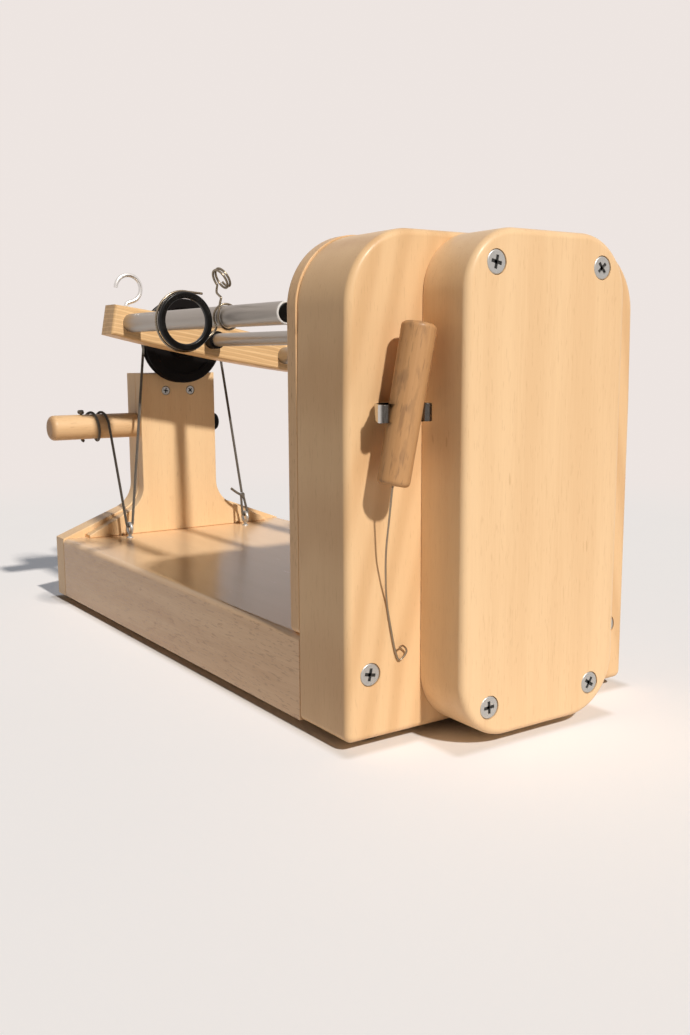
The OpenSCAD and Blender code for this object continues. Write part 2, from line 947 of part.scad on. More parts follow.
module speed_knob() {
    flutes = 16;
    color(black)
        translate([side_x + knob_gap, control_y, knob_z])
            rotate([0, 90, 0]) {
                difference() {
                    union() {
                        cylinder(d = knob_d, h = skirt_t);
                        cylinder(d = knob_body_d, h = knob_t);
                    }
                    for (i = [0 : flutes - 1])
                        rotate(360 * i / flutes)
                            translate([knob_body_d / 2 + flute_d / 2 - flute_depth, 0, skirt_t + 0.5])
                                cylinder(d = flute_d, h = knob_t, $fn = 24);
                }
                translate([0, 0, -knob_gap - panel_t - pot_l + pot_floor + clear])
                    cylinder(d = pot_shaft_d, h = panel_t + pot_l - pot_floor + knob_gap);
            }
}

module switch_frame() {
    window_w = switch_w - 2 * switch_wall;
    window_h = switch_h - 2 * switch_wall;
    lip_w = switch_w + 2 * switch_lip;
    lip_h = switch_h + 2 * switch_lip;
    color(black)
        translate([side_x, control_y, rocker_z])
            union() {
                difference() {
                    union() {
                        translate([-switch_l, -switch_w / 2, -switch_h / 2])
                            cube([switch_l + cut / 2, switch_w, switch_h]);
                        translate([0, -lip_w / 2, -lip_h / 2])
                            cube([switch_lip, lip_w, lip_h]);
                    }
                    translate([-switch_l + switch_wall, -window_w / 2, -window_h / 2])
                        cube([switch_l + switch_lip, window_w, window_h]);
                }
                translate([rocker_x - side_x, 0, 0])
                    rod(-window_w / 2 - cut / 2, window_w + cut, rocker_pin_d);
            }
}

// Rocker: a slice of a drum that tips about its pivot, with a dished face
module rocker() {
    w = switch_w - 2 * switch_wall - 2 * clear;
    dish_r = 15;
    color(black)
        translate([rocker_x, control_y, rocker_z])
            difference() {
                rod(-w / 2, w, 2 * rocker_r);
                translate([-2 * rocker_r - rocker_pin_d, -w, -rocker_r - cut])
                    cube([2 * rocker_r, 2 * w, 2 * rocker_r + 2 * cut]);
                translate([rocker_r + dish_r - rocker_out, 0, 0])
                    rod(-w, 2 * w, 2 * dish_r);
                rod(-w, 2 * w, rocker_pin_d + 2 * run);
            }
}

module power_inlet() {
    color(black)
        translate([side_x - inlet_l, control_y, inlet_z])
            rotate([0, 90, 0])
                difference() {
                    union() {
                        cylinder(d = inlet_d, h = inlet_l + inlet_flange_t / 2);
                        translate([0, 0, inlet_l])
                            cylinder(d = inlet_flange_d, h = inlet_flange_t);
                    }
                    translate([0, 0, inlet_l - inlet_depth])
                        difference() {
                            cylinder(d = inlet_bore_d, h = inlet_depth + inlet_flange_t + cut);
                            cylinder(d = inlet_pin_d, h = inlet_depth + inlet_flange_t + cut);
                        }
                }
}

// Brake cord: off the peg, down through the left eye, up and over the drum, down to the right eye
eye_top_z = eye_z + eye_r;
eye_bend_r = eye_wire / 2 + cord_d / 2 + 0.1;
peg_to_eye = [eye_y - peg_y, eye_top_z - peg_z];
peg_touch = atan2(peg_to_eye[1], peg_to_eye[0]) + 360 - acos(winding_r / norm(peg_to_eye));
eye_to_drum = [eye_x, axis_z - eye_top_z];
eye_slope = atan2(eye_to_drum[1], eye_to_drum[0]);
left_rise = eye_slope + asin((cord_run_r + eye_bend_r) / norm(eye_to_drum));
right_rise = eye_slope + asin(cord_run_r / norm(eye_to_drum));
left_touch = left_rise + 90;
right_touch = 90 - right_rise;

// Places on the peg's windings, on the drum and round the top wire of an eye, by angle
function on_peg(g) = [
    winding_x + winding_pitch * g / 360 - lead_pitch * max(0, -even_turns * 360 - g) / 360,
    peg_y + winding_r * cos(g),
    peg_z + winding_r * sin(g)
];
function on_drum(g) = [cord_run_r * cos(g), groove_y, axis_z + cord_run_r * sin(g)];
function round_eye(x, g) = [x + eye_bend_r * cos(g), eye_y, eye_top_z + eye_bend_r * sin(g)];

peg_leave = on_peg(peg_touch);
eye_enter = atan2(eye_top_z - peg_leave[2], -eye_x - peg_leave[0]) + 270;
eye_leave = left_rise + 270;
right_leave = on_drum(right_touch);
right_eye = [eye_x, eye_y, eye_top_z];
right_run = (right_leave - right_eye) / norm(right_leave - right_eye);
knot_up = 12;
knot_d = 2.4 * cord_d;
knot_place = right_eye + right_run * knot_up;
brake_route = concat(
    [for (i = [0 : 8]) on_peg(peg_touch * i / 8)],
    [for (i = [0 : 8]) round_eye(-eye_x, eye_enter + (eye_leave - eye_enter) * i / 8)],
    [for (i = [0 : 16]) on_drum(left_touch + (right_touch - left_touch) * i / 16)],
    [knot_place + right_run * (knot_d / 2 + fit)]
);

module brake_cord() {
    color(cord_grey)
        tube_along(brake_route, cord_d, 8);
}

// Knot above the right eye, with the doubled cord through the eye and a short tail
module brake_knot() {
    spread = [0.5 * cord_d, 0, 0];
    loop = concat(
        [knot_place - spread],
        [for (g = [180 : 20 : 360]) round_eye(eye_x, g)],
        [knot_place + spread]
    );
    tail = [knot_place, knot_place + [-4, 0.4, 2.2], knot_place + [-8, 1.2, 5.4]];
    color(cord_grey)
        union() {
            translate(knot_place)
                sphere(d = knot_d, $fn = 12);
            tube_along(loop, cord_d, 8);
            tube_along(tail, cord_d, 8);
        }
}

// Flyer bar: a plywood bar whose edges swell a little towards the middle
module flyer_bar() {
    swell = (bar_mid - bar_end) / 2;
    steps = 12;
    upper = [for (i = [-steps : steps])
        let (u = i / steps)
        [u * bar_l / 2, bar_mid / 2 - swell * u * u]];
    lower = [for (i = [len(upper) - 1 : -1 : 0]) [upper[i][0], -upper[i][1]]];
    color(plywood)
        on_flyer()
            difference() {
                upright(bar_y, bar_t)
                    polygon(concat(upper, lower));
                for (sx = [-1, 1])
                    translate([sx * arm_r, 0, 0])
                        rod(bar_y - 1, seat + 1, tube_d + 2 * fit);
                rod(bar_y - 1, spindle_seat + 1, spindle_d + 2 * fit);
                rod(bar_far_y - orifice_seat, orifice_seat + 1, orifice_d + 2 * fit);
                translate([hook_u, hook_y, bar_end / 2 - hook_seat])
                    cylinder(d = hook_d + 2 * fit, h = hook_seat + 2);
                translate([-hook_u, 0, 0])
                    rod(bar_far_y - hook_seat, hook_seat + 2, hook_d + 2 * fit);
            }
}

module arm_tube() {
    translate([-arm_r, 0, 0])
        sleeve(bar_y - arm_l, arm_l + seat, tube_d, tube_d - 2 * tube_wall);
}

module arm_tube_left() {
    color(alloy)
        on_flyer()
            arm_tube();
}

module arm_tube_right() {
    color(alloy)
        on_flyer()
            half_turn()
                arm_tube();
}

plug_l = 12;
plug_dip = 0.4;
plug_edge = 0.6;

// Plugs pushed into the free ends of the arm tubes, a little below the rim
module arm_plugs() {
    r = tube_d / 2 - tube_wall - fit;
    color(black)
        on_flyer()
            for (sx = [-1, 1])
                translate([sx * arm_r, bar_y - arm_l, 0])
                    rotate([90, 0, 0])
                        rotate_extrude()
                            polygon([
                                [0, -plug_l], [r, -plug_l], [r, -plug_dip - plug_edge],
                                [r - plug_edge, -plug_dip], [0, -plug_dip]
                            ]);
}

module spindle() {
    color(alloy)
        on_flyer()
            rod(spindle_end_y, bar_y + spindle_seat - spindle_end_y, spindle_d);
}

module spindle_collar() {
    color(black)
        on_flyer()
            sleeve(bar_y - collar_l, collar_l, collar_d, spindle_d + 2 * fit);
}

// Hollow orifice tube, with holes at the side where the yarn comes out towards the arms
module orifice_tube() {
    start = bar_far_y - orifice_seat;
    color(zinc)
        on_flyer()
            difference() {
                union() {
                    rod(start, orifice_end_y - start, orifice_d);
                    rod(orifice_end_y - orifice_lip_t, orifice_lip_t, orifice_lip_d);
                }
                rod(exit_y - exit_d, orifice_end_y - exit_y + exit_d + 1, orifice_bore);
                translate([-orifice_d, exit_y, 0])
                    rotate([0, 90, 0])
                        cylinder(d = exit_d, h = 2 * orifice_d);
            }
}

// Brake drum: grooved rim, thin web and a hub on the orifice tube
module brake_drum() {
    r = drum_d / 2;
    rim = 6;
    web = 2;
    hub_r = orifice_d / 2 + 4;
    bore_r = orifice_d / 2 + fit;
    mouth = drum_t / 2 - 1.2;
    color(black)
        on_flyer()
            translate([0, drum_y, 0])
                rotate([-90, 0, 0])
                    rotate_extrude()
                        polygon([
                            [bore_r, -2], [hub_r, -2], [hub_r, web / 2], [r - rim, web / 2],
                            [r - rim, 0], [r, 0],
                            [r, drum_t / 2 - mouth], [r - groove_depth, drum_t / 2 - mouth / 2],
                            [r - groove_depth, drum_t / 2 + mouth / 2], [r, drum_t / 2 + mouth], [r, drum_t],
                            [r - rim, drum_t], [r - rim, drum_t - web / 2], [hub_r, drum_t - web / 2],
                            [hub_r, drum_t], [bore_r, drum_t]
                        ]);
}

// Open yarn hooks at the ends of the bar: one stands on its edge, the other on its far face
hook_u = -arm_r - 1.5;
hook_y = bar_y + bar_t / 2;
hook_wall = 0.5;
hook_seat = (bar_end - tube_d) / 2 - hook_wall;
hook_neck = 4;
hook_c = hook_neck + hook_r;

// Shank, then most of a circle, rising from Z = 0
module yarn_hook() {
    shank = [[0, -hook_seat], [0, hook_neck / 4], [0.3, hook_neck * 0.75]];
    bow = [for (g = [-68 : 16 : 188]) [hook_r * cos(g), hook_c + hook_r * sin(g)]];
    path = [for (p = concat(shank, bow)) [p[0], 0, p[1]]];
    tube_along(path, hook_d, 8);
}

module yarn_hook_left() {
    color(zinc)
        on_flyer()
            translate([hook_u, hook_y, bar_end / 2])
                yarn_hook();
}

module yarn_hook_right() {
    color(zinc)
        on_flyer()
            translate([-hook_u, bar_far_y, 0])
                rotate([-90, 0, 0])
                    yarn_hook();
}

// Sliding guide: coil eye, stem down the arm's outer side, wrap round the tube, loop behind the black ring
guide_place = bar_y - guide_y;
wrap_r = tube_d / 2 + clear + wire_d / 2;
wrap_pitch = wire_d + 3.6;
wrap_back = 3;
wrap_steps = 27;
ring_side = 3.4;
ring_drop = 7;
ring_c = [-arm_r - tube_d / 2 - ring_side - ring_d / 2, -ring_drop];
loop_r = ring_d / 2 + clear;
loop_y = guide_place;
ring_y = loop_y - wire_d / 2 - fit - ring_t;
coil_out = 7.6;
coil_up = 11.2;
coil_back = 3.5;
coil_c = [-arm_r - coil_out, loop_y - coil_back, wrap_r + coil_up];
coil_lean = 40;
coil_turns = 2;
coil_start = -30;
coil_pitch = wire_d + 0.5;
stem_u = -arm_r - wrap_r;

coil_points = [for (i = [0 : 24 * coil_turns])
    let (g = coil_start + 360 * i / 24, side = coil_pitch * (i / 24 - coil_turns / 2), r = coil_d / 2)
    coil_c + [side * cos(coil_lean) - r * sin(coil_lean) * sin(g),
        r * cos(g),
        side * sin(coil_lean) + r * cos(coil_lean) * sin(g)]];
stem_points = smooth_curve([
    [stem_u - 0.5, loop_y + 1.7, wrap_r + 6.4], [stem_u - 0.1, loop_y + 1.9, wrap_r + 4.6],
    [stem_u, loop_y - 0.8, wrap_r + 3.1], [stem_u, loop_y - 3.4, wrap_r + 1.8],
    [stem_u, loop_y - 3.2, wrap_r - 0.4], [stem_u, loop_y - wrap_back, 3]
], 3);
// The wrap starts at the tube's outer side, goes under it and once round, and ends below that side
wrap_points = [for (i = [0 : wrap_steps])
    let (g = 15 * i, y = loop_y - wrap_back + wrap_pitch * g / 360)
    [-arm_r - wrap_r * cos(g), y, -wrap_r * sin(g)]];
drop_points = [[stem_u + 2.2, loop_y + 1.6, -wrap_r + 0.2], [stem_u + 1.2, loop_y + 0.6, -wrap_r - 1.6],
    [stem_u - 0.8, loop_y, -wrap_r - 4]];
loop_points = [for (i = [0 : 20])
    let (g = -25 - i * 245 / 20)
    [ring_c[0] + loop_r * cos(g), loop_y, ring_c[1] + loop_r * sin(g)]];
tail_points = [for (s = [3, 8]) loop_points[20] + [s, 0, 0.1 * s]];
guide_points = concat(
    [for (i = [len(coil_points) - 1 : -1 : 0]) coil_points[i]],
    stem_points, wrap_points, drop_points, loop_points, tail_points
);
echo(coil_eye_gap = self_gap(coil_points, wire_d, 18));
echo(tube_wrap_gap = self_gap(wrap_points, wire_d, 18));

module guide_wire() {
    tube_along(guide_points, wire_d, 6);
}

module guide_ring() {
    translate([ring_c[0], ring_y, ring_c[1]])
        rotate([-90, 0, 0])
            rotate_extrude()
                translate([ring_d / 2 - ring_w, 0])
                    polygon([
                        [0.6, 0], [ring_w - 0.6, 0], [ring_w, 0.6], [ring_w, ring_t - 0.6],
                        [ring_w - 0.6, ring_t], [0.6, ring_t], [0, ring_t - 0.6], [0, 0.6]
                    ]);
}

module guide_wire_left() {
    color(spring_wire)
        on_flyer()
            guide_wire();
}

module guide_ring_left() {
    color(black)
        on_flyer()
            guide_ring();
}

module guide_wire_right() {
    color(spring_wire)
        on_flyer()
            half_turn()
                guide_wire();
}

module guide_ring_right() {
    color(black)
        on_flyer()
            half_turn()
                guide_ring();
}

module drive_shaft() {
    color(steel)
        on_axis()
            rod(shaft_end_y, driver_y + driver_t - 1 - shaft_end_y, shaft_d);
}

module bobbin_driver() {
    color(black)
        on_axis()
            difference() {
                union() {
                    rod(driver_y, driver_t, driver_d);
                    rod(driver_y, driver_t + driver_hub_l, driver_hub_d);
                }
                rod(driver_y - 1, driver_t, shaft_d + 2 * fit);
                rod(bush_y, bush_l + cut, bush_d + 2 * fit);
                for (sx = [-1, 1])
                    translate([sx * pin_r, 0, 0])
                        rod(driver_y + 1, driver_t, pin_d + 2 * fit);
            }
}

module drive_pins() {
    color(steel)
        on_axis()
            for (sx = [-1, 1])
                translate([sx * pin_r, 0, 0])
                    rod(driver_y + 1, driver_t + driver_hub_l, pin_d);
}

module spindle_bush() {
    color(bronze)
        on_axis()
            sleeve(bush_y, bush_l, bush_d, spindle_d + 2 * run);
}

// Flanged belt pulley with its hub towards the headstock
module pulley(d, bore, hub_d) {
    difference() {
        union() {
            rod(pulley_y, pulley_w, d);
            for (y = [pulley_y, pulley_y + pulley_w - flange_t])
                rod(y, flange_t, d + 2 * pulley_rim);
            rod(pulley_y, pulley_w + hub_out, hub_d);
        }
        rod(pulley_y - cut, pulley_w + hub_out + 2 * cut, bore + 2 * fit);
    }
}

module driven_pulley() {
    color(alloy)
        on_axis()
            pulley(driven_d, shaft_d, driven_hub_d);
}

module motor_shaft() {
    color(steel)
        at_motor()
            rod(pulley_y - 1, motor_y + motor_l - 5 - pulley_y, motor_shaft_d);
}

module motor_pulley() {
    color(alloy)
        at_motor()
            pulley(motor_pulley_d, motor_shaft_d, motor_hub_d);
}

// Tension peg: a thick turned end outside the mast and a shank through it
module tension_peg() {
    x = -mast_w / 2 - clear;
    shank_end = -mast_w - clear - peg_shank_out;
    rounding = [for (g = [0 : 22.5 : 90])
        [peg_d / 2 - peg_round * (1 - cos(g)), peg_l - peg_round * (1 - sin(g))]];
    color(beech_light)
        translate([x, peg_y, peg_z])
            rotate([0, -90, 0])
                difference() {
                    rotate_extrude()
                        polygon(concat(
                            [[0, shank_end], [peg_shank_d / 2, shank_end]],
                            [[peg_shank_d / 2, 0], [peg_d / 2, 0]],
                            rounding, [[0, peg_l]]
                        ));
                    translate([0, 0, peg_l - peg_hole_in])
                        rotate([0, 90, 0])
                            cylinder(d = cord_d + 2 * clear, h = 2 * peg_d, center = true);
                }
}

module peg_cap() {
    color(black)
        translate([mast_w / 2 + clear, peg_y, peg_z])
            rotate([0, 90, 0])
                rotate_extrude()
                    polygon([
                        [peg_shank_d / 2 + fit, 0], [peg_cap_d / 2, 0], [peg_cap_d / 2, peg_cap_l - 2],
                        [peg_cap_d / 2 - 2, peg_cap_l], [0, peg_cap_l], [0, peg_shank_out + fit],
                        [peg_shank_d / 2 + fit, peg_shank_out + fit]
                    ]);
}

// Cord windings on the peg: out of its cross hole, round it, and up to where the braking strand begins
winding_turns = even_turns + 0.5;
winding_end = -2;
peg_hole_x = -mast_w / 2 - clear - peg_l + peg_hole_in;
winding_points = [for (i = [0 : 24 * winding_turns])
    on_peg(-360 * winding_turns + (360 * winding_turns + winding_end) * i / (24 * winding_turns))];
lead_points = smooth_curve([
    [peg_hole_x, peg_y, peg_z + peg_d / 2 + 1],
    [peg_hole_x, peg_y, peg_z],
    [peg_hole_x, peg_y, peg_z - peg_d / 2 + 0.6],
    [peg_hole_x + 0.4, peg_y + 0.3, peg_z - winding_r + 0.4],
    winding_points[0] + [-0.3, -0.5, -0.1]
], 3);
echo(peg_winding_gap = self_gap(winding_points, cord_d, 18));

module peg_cord() {
    color(cord_grey)
        tube_along(
            concat(lead_points, [for (i = [1 : len(winding_points) - 1]) winding_points[i]]),
            cord_d, 6
        );
}

module peg_knot() {
    ball_d = 1.8 * cord_d;
    up = peg_d / 2 + ball_d / 2;
    color(cord_grey)
        translate([peg_hole_x, peg_y, peg_z])
            difference() {
                translate([0, 0, up])
                    sphere(d = ball_d, $fn = 32);
                translate([0, 0, peg_d / 2 - 1])
                    cylinder(d = cord_d + 2 * fit, h = 2.1, $fn = 32);
            }
}

// Threading hook: a turned handle and a thin wire with a curled end
module hook_handle() {
    r = handle_d / 2;
    top_r = handle_top_d / 2;
    color(beech)
        on_handle()
            translate([0, -handle_out, -handle_l / 2])
                difference() {
                    rotate_extrude()
                        polygon(concat(
                            [[0, 0]],
                            [for (g = [-90 : 30 : 0])
                                [r - handle_round * (1 - cos(g)), handle_round * (1 + sin(g))]],
                            [for (g = [0 : 30 : 90])
                                [top_r - handle_round * (1 - cos(g)),
                                    handle_l - handle_round * (1 - sin(g))]],
                            [[0, handle_l]]
                        ));
                    translate([0, 0, -cut])
                        cylinder(d = hook_wire_d + 4 * fit, h = hook_seat_l + 2 * cut, $fn = 32);
                }
}

// Wire's way down from the handle's end: across, away from the headstock, up
hook_seat_l = 5;
hook_neck_l = 2;
hook_down = [sin(handle_lean), 0, cos(handle_lean)];
hook_start = [handle_x, body_y, handle_z] - hook_down * handle_l / 2;
hook_out = [0, -handle_out, 0];
hook_rest = -hook_wire_d / 2 - clear;
hook_route = [
    hook_out + hook_down * hook_seat_l, hook_out, hook_out - hook_down * hook_neck_l,
    [0.1, -handle_out + 2.6, -14], [0.9, -6.4, -26.5], [3.1, -3.2, -39],
    [5.6, hook_rest, -50], [7.7, hook_rest, -61], [9.8, hook_rest, -70], [11.6, hook_rest - 0.2, -74],
    [13.8, hook_rest - 0.5, -73], [15, hook_rest - 0.9, -70.5], [12.7, hook_rest - 1.4, -68],
    [10.6, hook_rest - 1.8, -68.4]
];

module hook_wire() {
    color(spring_wire)
        translate(hook_start)
            tube_along(smooth_curve(hook_route, 3), hook_wire_d, 8);
}

base_board();
headstock_block();
inner_plate();
belt_cover();
cover_screws();
headstock_screws();
plate_screws();
mast_plate();
front_board();
front_screws();
mast_screws();
bearing_block();
orifice_bearing();
eyelet_left();
eyelet_right();
rubber_feet();
motor();
motor_screws();
drive_belt();
rear_bearing();
plate_bearing();
tool_clip();
clip_screw();
control_board();
speed_pot();
switch_frame();
power_inlet();
brake_cord();
brake_knot();
flyer_bar();
arm_tube_left();
arm_tube_right();
arm_plugs();
spindle();
spindle_collar();
orifice_tube();
brake_drum();
yarn_hook_left();
yarn_hook_right();
guide_wire_left();
guide_ring_left();
guide_wire_right();
guide_ring_right();
drive_shaft();
bobbin_driver();
drive_pins();
spindle_bush();
driven_pulley();
motor_shaft();
motor_pulley();
tension_peg();
peg_cap();
peg_cord();
peg_knot();
hook_handle();
hook_wire();
speed_knob();
rocker();
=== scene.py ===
# %% [markdown]
# # A table-top electric spinning wheel
# The part is a wooden headstock with a belt cover, a base, a mast and a braked flyer between them. The
# CAD solids give every place and every joint. This lesson dresses them: each visible piece is modelled
# again with soft edges and real detail, rides on its CAD body, and gets a finish made from shader nodes.

# %% Load the frame
from math import acos, asin, atan2, cos, degrees, hypot, pi, radians, sin

import bmesh
import bpy
from mathutils import Matrix, Vector


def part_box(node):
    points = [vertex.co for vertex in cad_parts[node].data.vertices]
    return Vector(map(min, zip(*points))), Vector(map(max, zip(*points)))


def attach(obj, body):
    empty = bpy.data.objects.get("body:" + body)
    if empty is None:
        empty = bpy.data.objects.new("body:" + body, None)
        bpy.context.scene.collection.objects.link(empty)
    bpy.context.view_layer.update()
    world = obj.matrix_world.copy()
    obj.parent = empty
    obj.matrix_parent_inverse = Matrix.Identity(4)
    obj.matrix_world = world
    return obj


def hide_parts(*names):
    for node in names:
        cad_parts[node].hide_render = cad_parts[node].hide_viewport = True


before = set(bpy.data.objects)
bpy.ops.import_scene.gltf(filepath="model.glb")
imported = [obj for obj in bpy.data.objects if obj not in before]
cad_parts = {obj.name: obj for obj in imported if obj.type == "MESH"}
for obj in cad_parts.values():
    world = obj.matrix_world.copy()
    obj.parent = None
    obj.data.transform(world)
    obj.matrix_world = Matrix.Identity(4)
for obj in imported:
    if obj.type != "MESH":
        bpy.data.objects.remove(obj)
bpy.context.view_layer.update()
MM = 0.001


def mid_z(node):
    low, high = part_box(node)
    return (low[2] + high[2]) / 2


# %% [markdown]
# ## Camera
# The picture was taken from the front left, a little above the spin axis. A camera is easiest to repeat
# as a place, a turn from the +Y axis, a dip below the level and a small roll, so those four are written
# down here and made into a matrix. The lens follows from the width of the picture, so the fit is
# horizontal.

# %% Camera at the photograph's angle
def looking(place, yaw, pitch, roll):
    ahead = Vector((sin(yaw) * cos(pitch), cos(yaw) * cos(pitch), -sin(pitch)))
    right = Vector((cos(yaw), -sin(yaw), 0))
    down = ahead.cross(right)
    across = right * cos(roll) + down * sin(roll)
    upward = right * sin(roll) - down * cos(roll)
    turn = Matrix((across, upward, -ahead)).transposed().to_4x4()
    return Matrix.Translation(place) @ turn


bpy.ops.object.select_all(action="DESELECT")
bpy.ops.object.camera_add()
camera = bpy.context.active_object
camera.name = "photo_camera"
camera.matrix_world = looking((-0.31015, -0.4965, 0.1608), radians(34.168), radians(8.825), radians(0.264))
camera.data.sensor_fit = "HORIZONTAL"
camera.data.sensor_width = 36
camera.data.lens = 55.03
bpy.context.scene.camera = camera
bpy.context.scene.view_settings.view_transform = "Standard"
print("camera stands", round((camera.location - Vector((0, 0, 0.1))).length, 3), "m away")

# %% [markdown]
# ## Shader maths in Python
# A finish is a graph of nodes, and a graph is hard to read as a list of links. This class wraps one
# socket, so that plain sums such as `1 - mask` add their Math nodes by themselves. Every other kind of
# node comes from one method that takes the node's type, its settings, and the values or links of its
# sockets.

# %% One class for sockets
class Socket:
    def __init__(self, output):
        self.output = output

    def node(self, kind, settings=None, inputs=None, out=0):
        tree = self.output.id_data
        made = tree.nodes.new(kind)
        for name, value in (settings or {}).items():
            setattr(made, name, value)
        for name, value in (inputs or {}).items():
            if isinstance(value, Socket):
                tree.links.new(value.output, made.inputs[name])
            else:
                made.inputs[name].default_value = value
        return Socket(made.outputs[out]) if len(made.outputs) else None

    def math(self, operation, *values):
        return self.node("ShaderNodeMath", {"operation": operation}, dict(enumerate(values)))

    def __add__(self, other):
        return self.math("ADD", self, other)

    def __sub__(self, other):
        return self.math("SUBTRACT", self, other)

    def __rsub__(self, other):
        return self.math("SUBTRACT", other, self)

    def __mul__(self, other):
        return self.math("MULTIPLY", self, other)

    __radd__, __rmul__ = __add__, __mul__


def new_finish(name):
    look = bpy.data.materials.new(name)
    look.use_nodes = True
    look.node_tree.nodes.clear()
    return look, Socket(look.node_tree.nodes.new("ShaderNodeTexCoord").outputs["Object"])


EVEN = (1, 1, 1)


def part_of(place, axis):
    return place.node("ShaderNodeSeparateXYZ", None, {"Vector": place}, out=axis)


def noise(place, stretch, scale, detail):
    spread = place.node("ShaderNodeMapping", None, {"Vector": place, "Scale": stretch})
    return spread.node("ShaderNodeTexNoise", None, {"Vector": spread, "Scale": scale, "Detail": detail})


def between(value, low, high):
    return value.node("ShaderNodeMapRange", {"interpolation_type": "SMOOTHSTEP"},
                      {"Value": value, "From Min": low, "From Max": high})


def mixed(first, second, share):
    return share.node("ShaderNodeMix", {"data_type": "RGBA"}, {0: share, 6: first, 7: second}, out=2)


def relief(height, depth, strength=1.0):
    return height.node("ShaderNodeBump", None, {"Height": height, "Distance": depth, "Strength": strength})


def surface(place, colour, rough, **others):
    inputs = {"Base Color": colour, "Roughness": rough}
    inputs.update({name.replace("_", " "): value for name, value in others.items()})
    shader = place.node("ShaderNodeBsdfPrincipled", None, inputs)
    shader.node("ShaderNodeOutputMaterial", None, {"Surface": shader})


def rgb(red, green, blue):
    return (red, green, blue, 1.0)


print("shader helpers ready")

# %% [markdown]
# ## Light and floor
# A low warm sun from the front lights the fronts and leaves the sides in shade, and a weak even sky fills
# them. The sun's strength is set so that a surface facing it renders about as its colour is written. The
# background is what the camera and reflections see of the sky and of the far floor, so it brings no light
# of its own. Where the camera sees the near floor it is lifted a little, but not under the object, so the
# shade there stays dark.

# %% Sun, sky and floor
def light_rays(tree):
    rays = tree.nodes.new("ShaderNodeLightPath")
    kinds = ("Is Camera Ray", "Is Glossy Ray", "Is Transmission Ray")
    camera_ray, glossy_ray, clear_ray = [Socket(rays.outputs[name]) for name in kinds]
    return between(camera_ray + glossy_ray + clear_ray, 0.0, 1.0)


def beside(place, middle, half):
    vector = "ShaderNodeVectorMath"
    offset = place.node(vector, {"operation": "SUBTRACT"}, {0: place, 1: middle})
    offset = place.node(vector, {"operation": "ABSOLUTE"}, {0: offset})
    offset = place.node(vector, {"operation": "SUBTRACT"}, {0: offset, 1: half})
    offset = place.node(vector, {"operation": "MAXIMUM"}, {0: offset, 1: (0, 0, 0)})
    return between(place.node(vector, {"operation": "LENGTH"}, {0: offset}, out=1), 0.0, FADE_IN)


WALL = rgb(0.85, 0.785, 0.755)
SUN_TRAVEL = Vector((0.012, 1, -0.9))
BASE_AREA = ((0, 0.0135, 0), (0.081, 0.1735, 0))
COVER_AREA = ((0, -0.09, 0), (0.043, 0.094, 0))
FADE_IN = 0.006
bpy.ops.object.select_all(action="DESELECT")
bpy.ops.object.light_add(type="SUN", location=(0, -1, 1))
sun = bpy.context.active_object
sun.name = "front_sun"
sun.rotation_euler = SUN_TRAVEL.to_track_quat("-Z", "Y").to_euler()
sun.data.angle = radians(3)
sun.data.energy = 3.3
sun.data.color = (1.0, 0.955, 0.89)

world = bpy.data.worlds.new("pale_room")
bpy.context.scene.world = world
world.use_nodes = True
world.node_tree.nodes.clear()
sky = mixed(rgb(0.065, 0.057, 0.05), WALL, light_rays(world.node_tree))
glow = sky.node("ShaderNodeBackground", None, {"Color": sky})
glow.node("ShaderNodeOutputWorld", None, {"Surface": glow})

bpy.ops.object.select_all(action="DESELECT")
bpy.ops.mesh.primitive_grid_add(x_subdivisions=4, y_subdivisions=4, size=8)
floor = bpy.context.active_object
floor.name = "pale_floor"
floor_look, place = new_finish("matt_white_board")
mottle = noise(place, EVEN, 9, 3)
white = mixed(rgb(0.80, 0.77, 0.755), rgb(0.82, 0.79, 0.775), mottle)
matt = white.node("ShaderNodeBsdfDiffuse", None, {"Color": white})
bare = beside(place, *BASE_AREA) * beside(place, *COVER_AREA)
extra = mixed(rgb(0.0, 0.0, 0.0), rgb(0.195, 0.21, 0.235), bare)
lift = matt.node("ShaderNodeEmission", None, {"Color": extra})
lifted = matt.node("ShaderNodeAddShader", None, {0: matt, 1: lift})
shown = light_rays(floor_look.node_tree)
far = place.node("ShaderNodeVectorMath", {"operation": "LENGTH"}, {0: place}, out=1)
hazy = matt.node("ShaderNodeEmission", None, {"Color": WALL})
seen = matt.node("ShaderNodeMixShader", None, {0: between(far, 0.5, 0.9), 1: lifted, 2: hazy})
top = matt.node("ShaderNodeMixShader", None, {0: shown, 1: matt, 2: seen})
top.node("ShaderNodeOutputMaterial", None, {"Surface": top})
floor.data.materials.append(floor_look)
print("a sun, a pale sky and a floor")
